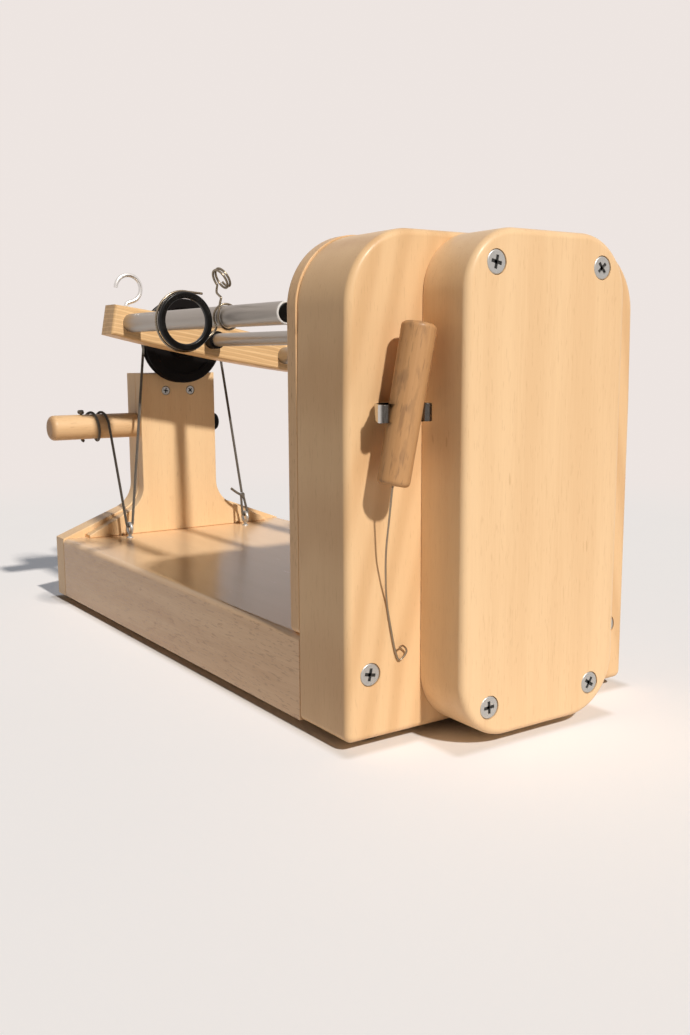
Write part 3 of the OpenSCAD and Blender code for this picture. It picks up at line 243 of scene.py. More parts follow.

# %% [markdown]
# ## Beech
# The boards are lacquered beech: a pale warm wood with very fine fibres, soft broad bands and small brown
# flecks that look like short dashes. All three are the same noise, stretched along the fibres by
# different amounts. The fibres run up the headstock, cover and mast, and along the base. Where a board is
# cut across the growth rings, they show as pointed arches; the headstock has a hint of them. The base has
# almost no flecks on its top, and its top is painted paler as painted sunlight. The handle is mottled
# darker on its left side, and the peg is darker at its tip.

# %% Beech finishes
def beech(name, along, pale, deep, fleck, fleck_share, turn=(0, 0, 0), gloss=0.34, arches=0.0, darker_side=None,
          tip=None, dash=0.11, fine=1500, dense=0.0, coat=0.07, fleckless_top_painted_light=None):
    look, place = new_finish(name)
    grain = place.node("ShaderNodeMapping", None, {"Vector": place, "Rotation": turn})

    def stretch(factor):
        return tuple(factor if axis == along else 1.0 for axis in range(3))

    fibre = noise(grain, stretch(0.035), 1500, 3)
    bands = noise(grain, stretch(0.06), 75, 3)
    cloud = noise(grain, stretch(0.3), 16, 2)
    dashes = between(noise(grain, stretch(dash), fine, 1), 0.62 - dense, 0.72 - dense)
    pins = between(noise(grain, stretch(0.25), 230, 1), 0.76, 0.80)
    tone = between(bands * 0.55 + cloud * 0.3 + fibre * 0.25, 0.38, 0.72)
    if arches:
        across = part_of(grain, 0) + 0.035
        height = part_of(grain, 2)
        fold = across.math("ABSOLUTE", across) * 70 + height * 17 + cloud * 1.6
        tone = tone * (1 - arches) + arches * between(fold.math("PINGPONG", fold, 0.5), 0.1, 0.45)
    # The top band loses its flecks and is painted paler: painted sunlight on the base's top.
    if fleckless_top_painted_light:
        top = between(part_of(grain, 2), *fleckless_top_painted_light)
        dashes, pins, tone = dashes * (1 - top), pins * (1 - top), tone * (1 - 0.7 * top)
    wood = mixed(mixed(pale, deep, tone), fleck, dashes * fleck_share + pins * 0.3)
    # Random patches darken one side of the piece; the handle gets them on its left side.
    if darker_side:
        side = part_of(grain, 0)
        patches = between(noise(grain, stretch(0.3), 330, 4), 0.47, 0.66)
        wood = mixed(wood, fleck, patches * (1 - between(side, *darker_side)) * 0.42)
    if tip:
        reach = part_of(grain, along)
        wood = mixed(wood, fleck, (1 - between(reach, *tip)) * 0.6)
    rough = gloss + 0.10 * fibre + 0.08 * dashes
    bump = relief(fibre * 0.6 - dashes * 0.15, 0.00006, 0.25)
    surface(place, wood, rough, Normal=bump, Specular_IOR_Level=0.3, Coat_Weight=coat, Coat_Roughness=0.2)
    return look


Z_UP, ALONG_Y, ALONG_X = 2, 1, 0
FLYER_TILT = radians(10.5)
HANDLE_LEAN = radians(11.5)
BASE_FLECKLESS_TOP_PAINTED_LIGHT = (0.0392, 0.0416)
PEG_TIP = (-0.0862, -0.0825)
HANDLE_DARKER_SIDE = (-0.0935, -0.0845)
looks = {
    "cover_beech": beech("cover_beech", Z_UP, rgb(0.88, 0.62, 0.365), rgb(0.81, 0.545, 0.305),
                         rgb(0.52, 0.28, 0.12), 0.16),
    "headstock_beech": beech("headstock_beech", Z_UP, rgb(0.85, 0.58, 0.325), rgb(0.72, 0.455, 0.235),
                             rgb(0.40, 0.21, 0.095), 0.14, arches=0.65),
    "plate_beech": beech("plate_beech", Z_UP, rgb(0.84, 0.56, 0.31), rgb(0.70, 0.44, 0.225),
                         rgb(0.34, 0.18, 0.08), 0.34, dash=0.15),
    "base_beech": beech("base_beech", ALONG_Y, rgb(0.90, 0.63, 0.385), rgb(0.76, 0.49, 0.28),
                        rgb(0.38, 0.17, 0.06), 0.44, gloss=0.2, dash=0.13, fine=1500, dense=0.055, coat=0.14,
                        fleckless_top_painted_light=BASE_FLECKLESS_TOP_PAINTED_LIGHT),
    "mast_beech": beech("mast_beech", Z_UP, rgb(0.90, 0.645, 0.38), rgb(0.83, 0.565, 0.315),
                        rgb(0.48, 0.26, 0.11), 0.16),
    "peg_beech": beech("peg_beech", ALONG_X, rgb(0.82, 0.555, 0.31), rgb(0.70, 0.44, 0.225),
                       rgb(0.36, 0.19, 0.085), 0.28, gloss=0.42, tip=PEG_TIP),
    "handle_beech": beech("handle_beech", Z_UP, rgb(0.54, 0.30, 0.135), rgb(0.42, 0.215, 0.088),
                          rgb(0.17, 0.095, 0.055), 0.35, turn=(0, -HANDLE_LEAN, 0), gloss=0.42,
                          darker_side=HANDLE_DARKER_SIDE),
}
print("beech finishes:", len(looks))

# %% [markdown]
# ## Plywood, metal, plastic and cord
# The flyer bar is plywood, whose glued layers show as thin lines along its edge. Tubes and screws are
# metal with fine drawing marks, the drum, ring and plugs are moulded black plastic, and the cord is
# twisted from a few yarns. The twist follows the cord's own UV map, because it has to run round every
# bend.

# %% The other finishes
def metal(name, colour, rough, stretch, depth=0.88, metallic=1.0):
    look, place = new_finish(name)
    marks = noise(place, stretch, 2600, 2)
    smudge = noise(place, EVEN, 60, 2)
    darker = tuple(depth * part for part in colour[:3]) + (1.0,)
    tone = mixed(colour, darker, between(marks * 0.6 + smudge * 0.4, 0.3, 0.7))
    surface(place, tone, rough + 0.05 * marks + 0.05 * smudge, Metallic=metallic,
            Normal=relief(marks, 0.00001, 0.25))
    return look


def sprung(name, bend_y):
    look, place = new_finish(name)
    depth = part_of(place, 1)
    marks = noise(place, (1, 1, 0.2), 2600, 2)
    # Ahead of the bend the lips are painted near black, as a painted dark reflection, and made a little
    # rougher.
    lips_painted_dark_reflection = (1 - between(depth, bend_y, bend_y + 0.0012)) * (0.8 + 0.2 * marks)
    tone = mixed(rgb(0.62, 0.60, 0.565), rgb(0.05, 0.042, 0.035), lips_painted_dark_reflection)
    surface(place, tone, 0.14 + 0.08 * marks + 0.1 * lips_painted_dark_reflection, Metallic=1.0, Normal=relief(marks, 0.00001, 0.25))
    return look


def moulded(name, colour, rough, grain=2600, sheen=0.5):
    look, place = new_finish(name)
    pits = noise(place, EVEN, grain, 2)
    wear = between(noise(place, EVEN, 160, 3), 0.55, 0.75)
    paler = tuple(part * 1.7 + 0.004 for part in colour[:3]) + (1.0,)
    surface(place, mixed(colour, paler, wear * 0.6), rough + 0.12 * wear + 0.08 * pits,
            Normal=relief(pits, 0.00003, 0.3), Specular_IOR_Level=sheen)
    return look


def layered(name, axis_height):
    look, place = new_finish(name)
    level = place.node("ShaderNodeMapping", {"vector_type": "TEXTURE"},
                       {"Vector": place, "Location": (0, 0, axis_height), "Rotation": (0, FLYER_TILT, 0)})
    height = part_of(level, 2)
    wander = noise(level, (0.2, 0.3, 1), 90, 3)
    fold = height * 345 + wander * 1.5
    turn = fold.math("PINGPONG", fold, 0.5)
    layer = between(turn, 0.1, 0.4)
    glue = 1 - between(fold.math("ABSOLUTE", turn - 0.25), 0.01, 0.08)
    fibre = noise(level, (0.05, 1, 1), 1500, 3)
    bands = noise(level, (0.07, 1, 1), 320, 2)
    tone = layer * 0.4 + fibre * 0.25 + between(bands, 0.35, 0.7) * 0.35
    wood = mixed(rgb(0.90, 0.61, 0.32), rgb(0.64, 0.385, 0.175), tone)
    surface(place, mixed(wood, rgb(0.30, 0.16, 0.07), glue * 0.3), 0.42 + 0.12 * fibre,
            Normal=relief(fibre * 0.5 - glue * 0.6, 0.00012, 0.4), Specular_IOR_Level=0.32,
            Coat_Weight=0.1, Coat_Roughness=0.3)
    return look


def twisted(name, colour, pale):
    look, place = new_finish(name)
    uv = Socket(look.node_tree.nodes.new("ShaderNodeUVMap").outputs["UV"])
    around = part_of(uv, 0)
    along = part_of(uv, 1)
    turn = around * 3 + along * 0.9
    yarn = turn.math("PINGPONG", turn, 0.5) * 2
    fuzz = noise(place, EVEN, 5200, 2)
    shade = between(yarn * 0.75 + fuzz * 0.25, 0.1, 0.8)
    surface(place, mixed(colour, pale, shade), 0.72 + 0.2 * fuzz,
            Normal=relief(yarn + fuzz * 0.35, 0.00018, 0.8), Sheen_Weight=0.25, Sheen_Roughness=0.5)
    return look


AXIS_Z = mid_z("spindle")
CLIP_BEND_Y = -0.1739
looks.update({
    "bar_plywood": layered("bar_plywood", AXIS_Z),
    "zinc_screw": metal("zinc_screw", rgb(0.52, 0.52, 0.505), 0.36, EVEN, 0.9, 0.75),
    "recess_painted_shade": metal("recess_painted_shade", rgb(0.07, 0.07, 0.068), 0.35, EVEN),
    "nickel_clip_painted_reflection": sprung("nickel_clip_painted_reflection", CLIP_BEND_Y),
    "bright_hook": metal("bright_hook", rgb(0.82, 0.81, 0.79), 0.26, EVEN),
    "satin_tube": metal("satin_tube", rgb(0.40, 0.37, 0.335), 0.36, (1, 0.02, 1), 0.95),
    "rim_painted_highlight": metal("rim_painted_highlight", rgb(0.86, 0.86, 0.85), 0.6, EVEN, 0.9, 0.5),
    "shaft_steel": metal("shaft_steel", rgb(0.52, 0.52, 0.53), 0.22, (1, 0.1, 1)),
    "spring_wire": metal("spring_wire", rgb(0.27, 0.225, 0.165), 0.22, EVEN),
    "hook_wire": metal("hook_wire", rgb(0.36, 0.29, 0.215), 0.28, (1, 1, 0.3)),
    "bush_bronze": metal("bush_bronze", rgb(0.62, 0.43, 0.20), 0.30, (1, 0.2, 1)),
    "drum_black": moulded("drum_black", rgb(0.003, 0.002, 0.002), 0.55, sheen=0.12),
    "ring_black": moulded("ring_black", rgb(0.005, 0.005, 0.005), 0.25, sheen=0.2),
    "block_black": moulded("block_black", rgb(0.016, 0.016, 0.016), 0.46),
    "motor_black": moulded("motor_black", rgb(0.02, 0.02, 0.022), 0.36),
    "foot_rubber": moulded("foot_rubber", rgb(0.022, 0.021, 0.020), 0.72, 1600),
    "board_green": moulded("board_green", rgb(0.02, 0.11, 0.05), 0.38),
    "brake_cord": twisted("brake_cord", rgb(0.04, 0.033, 0.027), rgb(0.19, 0.165, 0.135)),
})
print("finishes:", len(looks))

# %% [markdown]
# ## Solids that stay as they are
# The motor, belt, pulleys, bearings and the circuit board sit inside the headstock, and the rocker switch
# is plain. Their CAD shapes are exact, so they keep them and only take a finish.

# %% Finishes on the solids that stay
inner_looks = {
    "motor_black": ["motor"],
    "zinc_screw": ["motor_screws"],
    "foot_rubber": ["drive_belt"],
    "shaft_steel": ["rear_bearing", "plate_bearing", "orifice_bearing", "speed_pot", "drive_shaft",
                    "motor_shaft"],
    "board_green": ["control_board"],
    "satin_tube": ["driven_pulley", "motor_pulley"],
    "bush_bronze": ["spindle_bush"],
    "ring_black": ["rocker"],
    "block_black": ["switch_frame"],
}
for look_name, nodes in inner_looks.items():
    for node in nodes:
        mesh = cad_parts[node].data
        mesh.materials.clear()
        mesh.materials.append(looks[look_name])
print("solids finished:", sum(len(nodes) for nodes in inner_looks.values()))

# %% [markdown]
# ## Bench tools
# Modelling by operators means adding a primitive, opening it in edit mode, selecting by place and acting
# on the selection. These small tools do the parts of that which every piece needs: a fresh primitive with
# nothing else selected, a pick of edges or faces by a test, a rounded edge, and the finishing of a piece.

# %% Fresh primitives, picking and rounding
def fresh(kind, name, **settings):
    bpy.ops.object.select_all(action="DESELECT")
    getattr(bpy.ops.mesh, f"primitive_{kind}_add")(**settings)
    piece = bpy.context.active_object
    piece.name = piece.data.name = name
    return piece


def only(*pieces):
    bpy.ops.object.select_all(action="DESELECT")
    for piece in pieces:
        piece.select_set(True)
    bpy.context.view_layer.objects.active = pieces[0]


def open_piece(piece):
    only(piece)
    bpy.ops.object.mode_set(mode="EDIT")
    bpy.ops.mesh.select_mode(type="VERT")
    bpy.ops.mesh.select_all(action="SELECT")


def close_piece():
    bpy.ops.object.mode_set(mode="OBJECT")


def pick(kind, test):
    bpy.ops.mesh.select_mode(type=kind)
    bpy.ops.mesh.select_all(action="DESELECT")
    mesh = bpy.context.edit_object.data
    work = bmesh.from_edit_mesh(mesh)
    for part in work.edges if kind == "EDGE" else work.faces:
        if test(part):
            part.select_set(True)
    work.select_flush_mode()
    bmesh.update_edit_mesh(mesh)


def lies(edge, axis, value):
    return all(abs(end.co[axis] - value) < 1e-6 for end in edge.verts)


def runs(edge, axis):
    way = edge.verts[1].co - edge.verts[0].co
    return abs(way[axis]) > 0.999 * way.length


def round_off(radius, steps):
    bpy.ops.mesh.bevel(offset=radius * MM, offset_type="OFFSET", segments=steps, affect="EDGES",
                       clamp_overlap=False)


def ease_rims(piece, axis, levels, radius, steps):
    open_piece(piece)
    pick("EDGE", lambda edge: any(lies(edge, axis, level) for level in levels))
    round_off(radius, steps)
    close_piece()


def finished(piece, body, slot, look, *nodes, angle=35):
    open_piece(piece)
    bpy.ops.mesh.remove_doubles(threshold=2e-6)
    bpy.ops.mesh.normals_make_consistent(inside=False)
    close_piece()
    bpy.ops.object.shade_smooth_by_angle(angle=radians(angle))
    modifier = piece.modifiers.new("even_shading", "WEIGHTED_NORMAL")
    modifier.keep_sharp = True
    bpy.ops.object.modifier_apply(modifier=modifier.name)
    piece.data.materials.clear()
    piece.data.materials.append(looks[look])
    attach(piece, body)
    if nodes:
        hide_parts(*nodes)
    print(piece.name, "has", len(piece.data.polygons), "faces")
    return piece


def drilled(piece, start, along, radius, length):
    along = Vector(along).normalized()
    drill = fresh("cylinder", "drill", vertices=40, radius=radius * MM, depth=length * MM)
    turn = along.to_track_quat("Z", "Y").to_matrix().to_4x4()
    drill.matrix_world = Matrix.Translation(Vector(start)) @ turn
    return taken_out(piece, drill)


def taken_out(piece, tool):
    cut = piece.modifiers.new("hole", "BOOLEAN")
    cut.operation, cut.solver, cut.object = "DIFFERENCE", "EXACT", tool
    bpy.context.view_layer.objects.active = piece
    bpy.ops.object.modifier_apply(modifier=cut.name)
    bpy.data.objects.remove(tool)
    return piece


def joined(pieces, name):
    only(*pieces)
    bpy.ops.object.join()
    pieces[0].name = pieces[0].data.name = name
    return pieces[0]


def cuboid(name, size, place, turn=0):
    piece = fresh("cube", name, size=1)
    piece.scale, piece.location, piece.rotation_euler = size, place, (0, turn, 0)
    bpy.ops.object.transform_apply(location=True, rotation=True, scale=True)
    return piece


def sunk(piece, y, head, places):
    for x, z in places:
        drilled(piece, Vector((x, y, z)) * MM, ALONG, head / 2 + 0.2, 3.4)


ACROSS, ALONG, UPWARD = (1, 0, 0), (0, 1, 0), (0, 0, 1)
BIG_HEAD, SMALL_HEAD = 9.6, 6
COVER_SCREWS = [(-29.2, 195.4), (29.2, 195.4), (-29.2, 17.6), (29.2, 17.6)]
HEADSTOCK_SCREWS = [(-69.6, 31.8), (69.6, 31.8)]
PLATE_SCREWS = [(-69, 54), (69, 54), (-69, 179), (69, 179)]
END_SCREWS = [(-59, 23), (59, 23)]
MAST_SCREWS = [(-9, 137), (9, 137)]
CONTROL_Y = -142
print("bench tools ready")

# %% [markdown]
# ## The thick boards
# The headstock, its inner plate, the belt cover and the base are boards with rounded corners and softened
# rims. A cube of the board's size is enough to start from: first the upright corners are bevelled to
# their radius, then the rim of the near face and the rim of the far face. Bevelling in that order keeps
# the rims even. Each screw gets its sink, and the switch and the power socket their openings. The
# headstock's upper half is a hair smaller than the plate behind it, so that the plate shows a thin lit
# line along the curve, and below it a dark seam.

# %% Headstock, plate, cover and base
def block_of(node, name):
    low, high = (Vector(corner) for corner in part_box(node))
    return cuboid(name, high - low, (high + low) / 2), low, high


def soft_board(node, name, top_r, low_r, near_r, far_r):
    piece, low, high = block_of(node, name)
    open_piece(piece)
    for radius, level in ((top_r, high.z), (low_r, low.z)):
        pick("EDGE", lambda edge: runs(edge, 1) and lies(edge, 2, level))
        round_off(radius, 28 if radius > 10 else 6)
    pick("EDGE", lambda edge: lies(edge, 1, low.y))
    round_off(near_r, 8)
    pick("EDGE", lambda edge: lies(edge, 1, high.y))
    round_off(far_r, 4)
    close_piece()
    return piece


WAIST_Z, WAIST_RAMP, NARROWER, LOWER = 0.138, 0.03, 0.009, 0.0005
SEAM_DEPTH, SEAM_ZONE = 0.0004, 0.003
headstock = soft_board("headstock_block", "headstock", 31, 3.5, 3, 0.3)
open_piece(headstock)
bpy.ops.mesh.bisect(plane_co=(0, 0, WAIST_Z), plane_no=UPWARD)
close_piece()
for corner in headstock.data.vertices:
    share = max(0.0, min(1.0, (corner.co.z - WAIST_Z) / WAIST_RAMP))
    corner.co.x *= 1 - NARROWER * share
    corner.co.z -= LOWER * share * max(0.0, (corner.co.z - 0.17) / 0.04)
sunk(headstock, -160, BIG_HEAD, HEADSTOCK_SCREWS)
side_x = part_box("headstock_block")[1][0]
drilled(headstock, (side_x, CONTROL_Y * MM, mid_z("power_inlet")), ACROSS, 5.52, 36.4)
well_at = (side_x, CONTROL_Y * MM, mid_z("switch_frame"))
taken_out(headstock, cuboid("switch_well", (0.0324, 0.01304, 0.01904), well_at))
finished(headstock, "stand", "beech_block", "headstock_beech", "headstock_block")
plate = soft_board("inner_plate", "flyer_side_plate", 31, 3, 0.4, 2)
seam = min(corner.co.y for corner in plate.data.vertices) + SEAM_ZONE
for corner in plate.data.vertices:
    corner.co.y += SEAM_DEPTH if corner.co.y < seam else 0
sunk(plate, -115.5, SMALL_HEAD, PLATE_SCREWS)
finished(plate, "stand", "beech_board", "plate_beech", "inner_plate")
cover = soft_board("belt_cover", "cover", 25, 25, 3, 0.5)
sunk(cover, -187, BIG_HEAD, COVER_SCREWS)
finished(cover, "stand", "beech_block", "cover_beech", "belt_cover")

base, low, high = block_of("base_board", "base")
open_piece(base)
pick("EDGE", lambda edge: runs(edge, 1) and lies(edge, 2, high.z))
round_off(3, 8)
pick("EDGE", lambda edge: lies(edge, 1, low.y) or lies(edge, 1, high.y) or lies(edge, 2, low.z))
round_off(0.5, 2)
close_piece()
for corner in base.data.vertices:
    corner.co.y += 0.0005 if corner.co.y < low.y + SEAM_ZONE else 0
finished(base, "stand", "beech_board", "base_beech", "base_board")

# %% [markdown]
# ## Mast and front board
# The mast is two layers with the same outline: a straight neck that flares into sloping shoulders. A
# filled circle gives a face with as many corners as the outline needs, its corners are set to the
# outline, and the face is extruded to the board's thickness.

# %% Boards from an outline
def cut_out(name, points, depth):
    piece = fresh("circle", name, vertices=len(points), fill_type="NGON")
    for corner, point in zip(piece.data.vertices, points):
        corner.co = point
    open_piece(piece)
    bpy.ops.mesh.extrude_region_move(TRANSFORM_OT_translate={"value": depth})
    bpy.ops.mesh.select_all(action="SELECT")
    bpy.ops.mesh.normals_make_consistent(inside=False)
    close_piece()
    return piece


def mast_outline(foot_x, foot_z, slope, lowest, steps=20):
    neck, flare = 27.25, 18
    rise = foot_z + (flare - sin(slope) * (neck + flare - foot_x)) / cos(slope)
    half = [(neck, MAST_TOP)]
    for i in range(steps + 1):
        turn = pi + i * (pi / 2 - slope) / steps
        half.append((neck + flare + flare * cos(turn), rise + flare * sin(turn)))
    half += [(foot_x, foot_z), (foot_x, lowest)]
    return half + [(-x, z) for x, z in reversed(half)]


BASE_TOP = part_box("base_board")[1][2] / MM
MAST_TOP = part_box("mast_plate")[1][2] / MM
for node, name, foot_x, toe, slope in (
        ("mast_plate", "mast", 66, 2, radians(26)), ("front_board", "end_board", 81, 0, radians(21))):
    low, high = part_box(node)
    outline = mast_outline(foot_x, BASE_TOP + toe, slope, low[2] / MM)
    piece = cut_out(name, [(x * MM, low[1], z * MM) for x, z in outline], (0, high[1] - low[1], 0))
    ease_rims(piece, 1, (low[1], high[1]), 0.7, 3)
    if name == "mast":
        sunk(piece, low[1] / MM, SMALL_HEAD, MAST_SCREWS)
    else:
        sunk(piece, high[1] / MM, BIG_HEAD, END_SCREWS)
        taken_out(piece, cuboid("tongue_slot", (0.0322, 0.0121, 0.0402), (0, low[1], MAST_TOP * MM)))
    finished(piece, "stand", "beech_board", "mast_beech", node)

# %% [markdown]
# ## Turned pieces
# Pins, tubes, the drum, the peg and the handle are all turned on a lathe, so the spin operator makes
# them: a ring of points becomes the piece's half section, which is swept once round the axis. Where the
# section touches the axis its points fall together, so doubles are merged and the loose edge on the axis
# is deleted.

# %% A lathe
def turned(name, section, start, along, steps=64):
    along = Vector(along).normalized()
    side = along.orthogonal().normalized()
    start = Vector(start)
    piece = fresh("circle", name, vertices=len(section), fill_type="NOTHING")
    for corner, (radius, out) in zip(piece.data.vertices, section):
        corner.co = start + (side * radius + along * out) * MM
    open_piece(piece)
    bpy.ops.mesh.spin(steps=steps, angle=2 * pi, center=start, axis=along, use_auto_merge=True)
    bpy.ops.mesh.select_all(action="SELECT")
    bpy.ops.mesh.remove_doubles(threshold=1e-6)
    bpy.ops.mesh.delete_loose()
    bpy.ops.mesh.select_all(action="SELECT")
    bpy.ops.mesh.normals_make_consistent(inside=False)
    close_piece()
    return piece


def quarter(radius, out, bend, first, last, steps=4):
    points = []
    for i in range(steps + 1):
        g = radians(first + (last - first) * i / steps)
        points.append((radius + bend * cos(g), out + bend * sin(g)))
    return points


def on_flyer(u, y, w):
    return Vector((u * cos(FLYER_TILT) + w * sin(FLYER_TILT), y,
                   AXIS_Z / MM - u * sin(FLYER_TILT) + w * cos(FLYER_TILT))) * MM


ARM_R = 54.5
low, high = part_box("arm_tube_left")
tube_near, tube_l = low[1] / MM, (high[1] - low[1]) / MM
for side, name in ((-1, "left"), (1, "right")):
    end = on_flyer(ARM_R * side, tube_near, 0)
    section = [(4.5, 0.3), (5.5, 0.3), (5.5, tube_l), (4.5, tube_l)]
    finished(turned(f"tube_{name}", section, end, ALONG), "flyer", "alloy", "satin_tube", f"arm_tube_{name}")
    # A ring of pale matte metal on each tube's cut end is a painted highlight of the sun on the rim.
    section = [(4.47, 0.7), (4.47, 0.4), (4.75, 0), (5.2, 0), (5.52, 0.4), (5.52, 0.7)]
    rim = turned(f"tube_rim_{name}", section, end, ALONG)
    finished(rim, "flyer", "alloy", "rim_painted_highlight", f"arm_tube_{name}")
    section = [(0, 0.5), (3.85, 0.5)] + quarter(3.85, 1.1, 0.6, -90, 0) + [(4.45, 12), (0, 12)]
    plug = turned(f"tube_plug_{name}", section, end, ALONG, 48)
    finished(plug, "flyer", "black_plastic", "ring_black", "arm_plugs")

low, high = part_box("spindle")
rod_l = (high[1] - low[1]) / MM
section = [(0, 0), (3.4, 0), (4, 0.6), (4, rod_l), (0, rod_l)]
spindle = turned("flyer_spindle", section, (0, low[1], AXIS_Z), ALONG)
finished(spindle, "flyer", "alloy", "satin_tube", "spindle")
low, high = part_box("spindle_collar")
section = [(4.05, 0), (5.1, 0), (5.5, 0.4), (5.5, 7.6), (5.1, 8), (4.05, 8)]
collar = turned("spindle_ring", section, (0, low[1], AXIS_Z), ALONG)
finished(collar, "flyer", "black_plastic", "drum_black", "spindle_collar")

# %% [markdown]
# ## Orifice, drum and bearing block
# The yarn goes in through the flared end of a hollow tube, and out through holes in its side. The brake
# drum sits on that tube, with a groove for the cord. The block that carries the tube's bearing is a round
# housing on a neck, cut out like the mast and then drilled; its tongue sits in a slot behind the mast.

# %% Orifice tube, drum and block
low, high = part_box("orifice_tube")
tube_end = (high[1] - low[1]) / MM
section = [(0, 0), (7, 0), (7, tube_end - 2.5), (9.9, tube_end - 2.5)]
section += quarter(9.7, tube_end - 1.25, 0.8, -60, 80) + [(6.6, tube_end)]
section += [(5.6, tube_end - 0.5), (5, tube_end - 1.6), (5, 11), (0, 11)]
orifice = turned("orifice", section, (0, low[1], AXIS_Z), ALONG)
drilled(orifice, on_flyer(0, 138, 0), on_flyer(1, 0, 0) - on_flyer(0, 0, 0), 4.5, 40)
finished(orifice, "flyer", "zinc", "bright_hook", "orifice_tube")

low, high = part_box("brake_drum")
section = [(7.05, 0), (10.6, 0), (11, 0.4), (11, 3), (21.5, 3), (21.5, 2.3), (21.8, 2), (26.9, 2)]
section += [(27.5, 2.5), (27.5, 3.2), (25.6, 4.475), (25.6, 7.025), (27.5, 8.3), (27.5, 9), (26.9, 9.5)]
section += [(21.8, 9.5), (21.5, 9.2), (21.5, 8.5), (11, 8.5), (11, 9.5), (7.05, 9.5)]
drum = turned("brake_wheel", section, (0, low[1], AXIS_Z), ALONG, 96)
finished(drum, "flyer", "black_plastic", "drum_black", "brake_drum", angle=30)

low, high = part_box("bearing_block")
HOUSING_R, NECK = 13.5, 7
meet = degrees(acos(NECK / HOUSING_R))
turns = [-meet + (180 + 2 * meet) * i / 48 for i in range(49)]
arch = [(HOUSING_R * cos(radians(g)), AXIS_Z / MM + HOUSING_R * sin(radians(g))) for g in turns]
arch = [(NECK, MAST_TOP)] + arch + [(-NECK, MAST_TOP)]
block = cut_out("orifice_block", [(x * MM, low[1], z * MM) for x, z in arch], (0, high[1] - low[1], 0))
ease_rims(block, 1, (low[1], high[1]), 0.8, 3)
drilled(block, (0, 0.171, AXIS_Z), ALONG, 8, 60)
drilled(block, (0, high[1], AXIS_Z), ALONG, 11.05, 14)
tongue = cuboid("block_tongue", (0.032, 0.006, 0.02), (0, low[1] + 0.003, MAST_TOP * MM - 0.01))
joined([block, tongue], "orifice_block")
finished(block, "stand", "black_plastic", "block_black", "bearing_block")

# %% [markdown]
# ## Flyer bar
# The bar is cut from plywood and swells a little towards its middle. It is an outline like the mast's,
# laid in the flyer's own resting turn, with its edges eased by hand sanding.

# %% Bar
low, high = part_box("flyer_bar")
steps = 24
upper = [(66 * i / steps, 10.7 - 1.7 * (i / steps) ** 2) for i in range(-steps, steps + 1)]
outline = upper + [(u, -w) for u, w in reversed(upper)]
bar = cut_out("flyer_bar_ply", [on_flyer(u, low[1] / MM, w) for u, w in outline], (0, high[1] - low[1], 0))
ease_rims(bar, 1, (low[1], high[1]), 2, 5)
finished(bar, "flyer", "plywood", "bar_plywood", "flyer_bar")

# %% [markdown]
# ## Wires and cords
# A bent wire is a path with a thickness. Its points come from the same formulas as the CAD solid, so it
# lies exactly where that does; the path gets a round bevel and is then made a mesh. Its UV map is scaled
# so that one unit along the wire is one thickness, which lets a cord's twist keep its pitch on every
# strand.

# %% Strands along a path
def strand(name, points, thick, rounds=4):
    bpy.ops.object.select_all(action="DESELECT")
    bpy.ops.curve.primitive_nurbs_path_add()
    piece = bpy.context.active_object
    piece.name = name
    path = piece.data
    path.splines.clear()
    line = path.splines.new("POLY")
    line.points.add(len(points) - 1)
    for knot, point in zip(line.points, points):
        knot.co = (*point, 1)
    path.dimensions = "3D"
    path.bevel_depth = thick / 2 * MM
    path.bevel_resolution = rounds
    path.use_fill_caps = True
    bpy.ops.object.convert(target="MESH")
    piece = bpy.context.active_object
    piece.data.name = name
    length = sum((Vector(b) - Vector(a)).length for a, b in zip(points, points[1:]))
    for corner in piece.data.uv_layers[0].data:
        corner.uv.y *= length / (thick * MM)
    return piece


def eased(points, steps=8):
    points = [Vector(point) for point in points]
    made = []
    for i in range(len(points) - 1):
        a, b, c, d = points[max(i - 1, 0)], points[i], points[i + 1], points[min(i + 2, len(points) - 1)]
        for j in range(steps):
            u = j / steps
            made.append(0.5 * (2 * b + u * (c - a) + u * u * (2 * a - 5 * b + 4 * c - d)
                               + u ** 3 * (3 * b - a - 3 * c + d)))
    return made + [points[-1]]


print("strand tools ready")

# %% [markdown]
# ## Yarn hooks and sliding guides
# The open hook at the bar's end is thick wire bent to most of a circle. The guide is springy wire that
# starts in a small double coil, drops down the arm's outer side, wraps round the tube once, and runs on
# round the black ring that is pinched to slide it. It is the finest shape on the object, so it has the
# most points.

# %% Hooks, guides and rings
LOOP_Y = -12.5
COIL_LEAN, COIL_R = radians(40), 5.1
WRAP_R = 6.4
RING_U, RING_W, LOOP_R = -77.775, -7, 14.675


def coil_point(i):
    turns = i / 48
    g, side = 2 * pi * turns - pi / 6, 1.7 * (turns - 1)
    return (-62.1 + side * cos(COIL_LEAN) - COIL_R * sin(COIL_LEAN) * sin(g),
            LOOP_Y - 3.5 + COIL_R * cos(g),
            17.6 + side * sin(COIL_LEAN) + COIL_R * cos(COIL_LEAN) * sin(g))


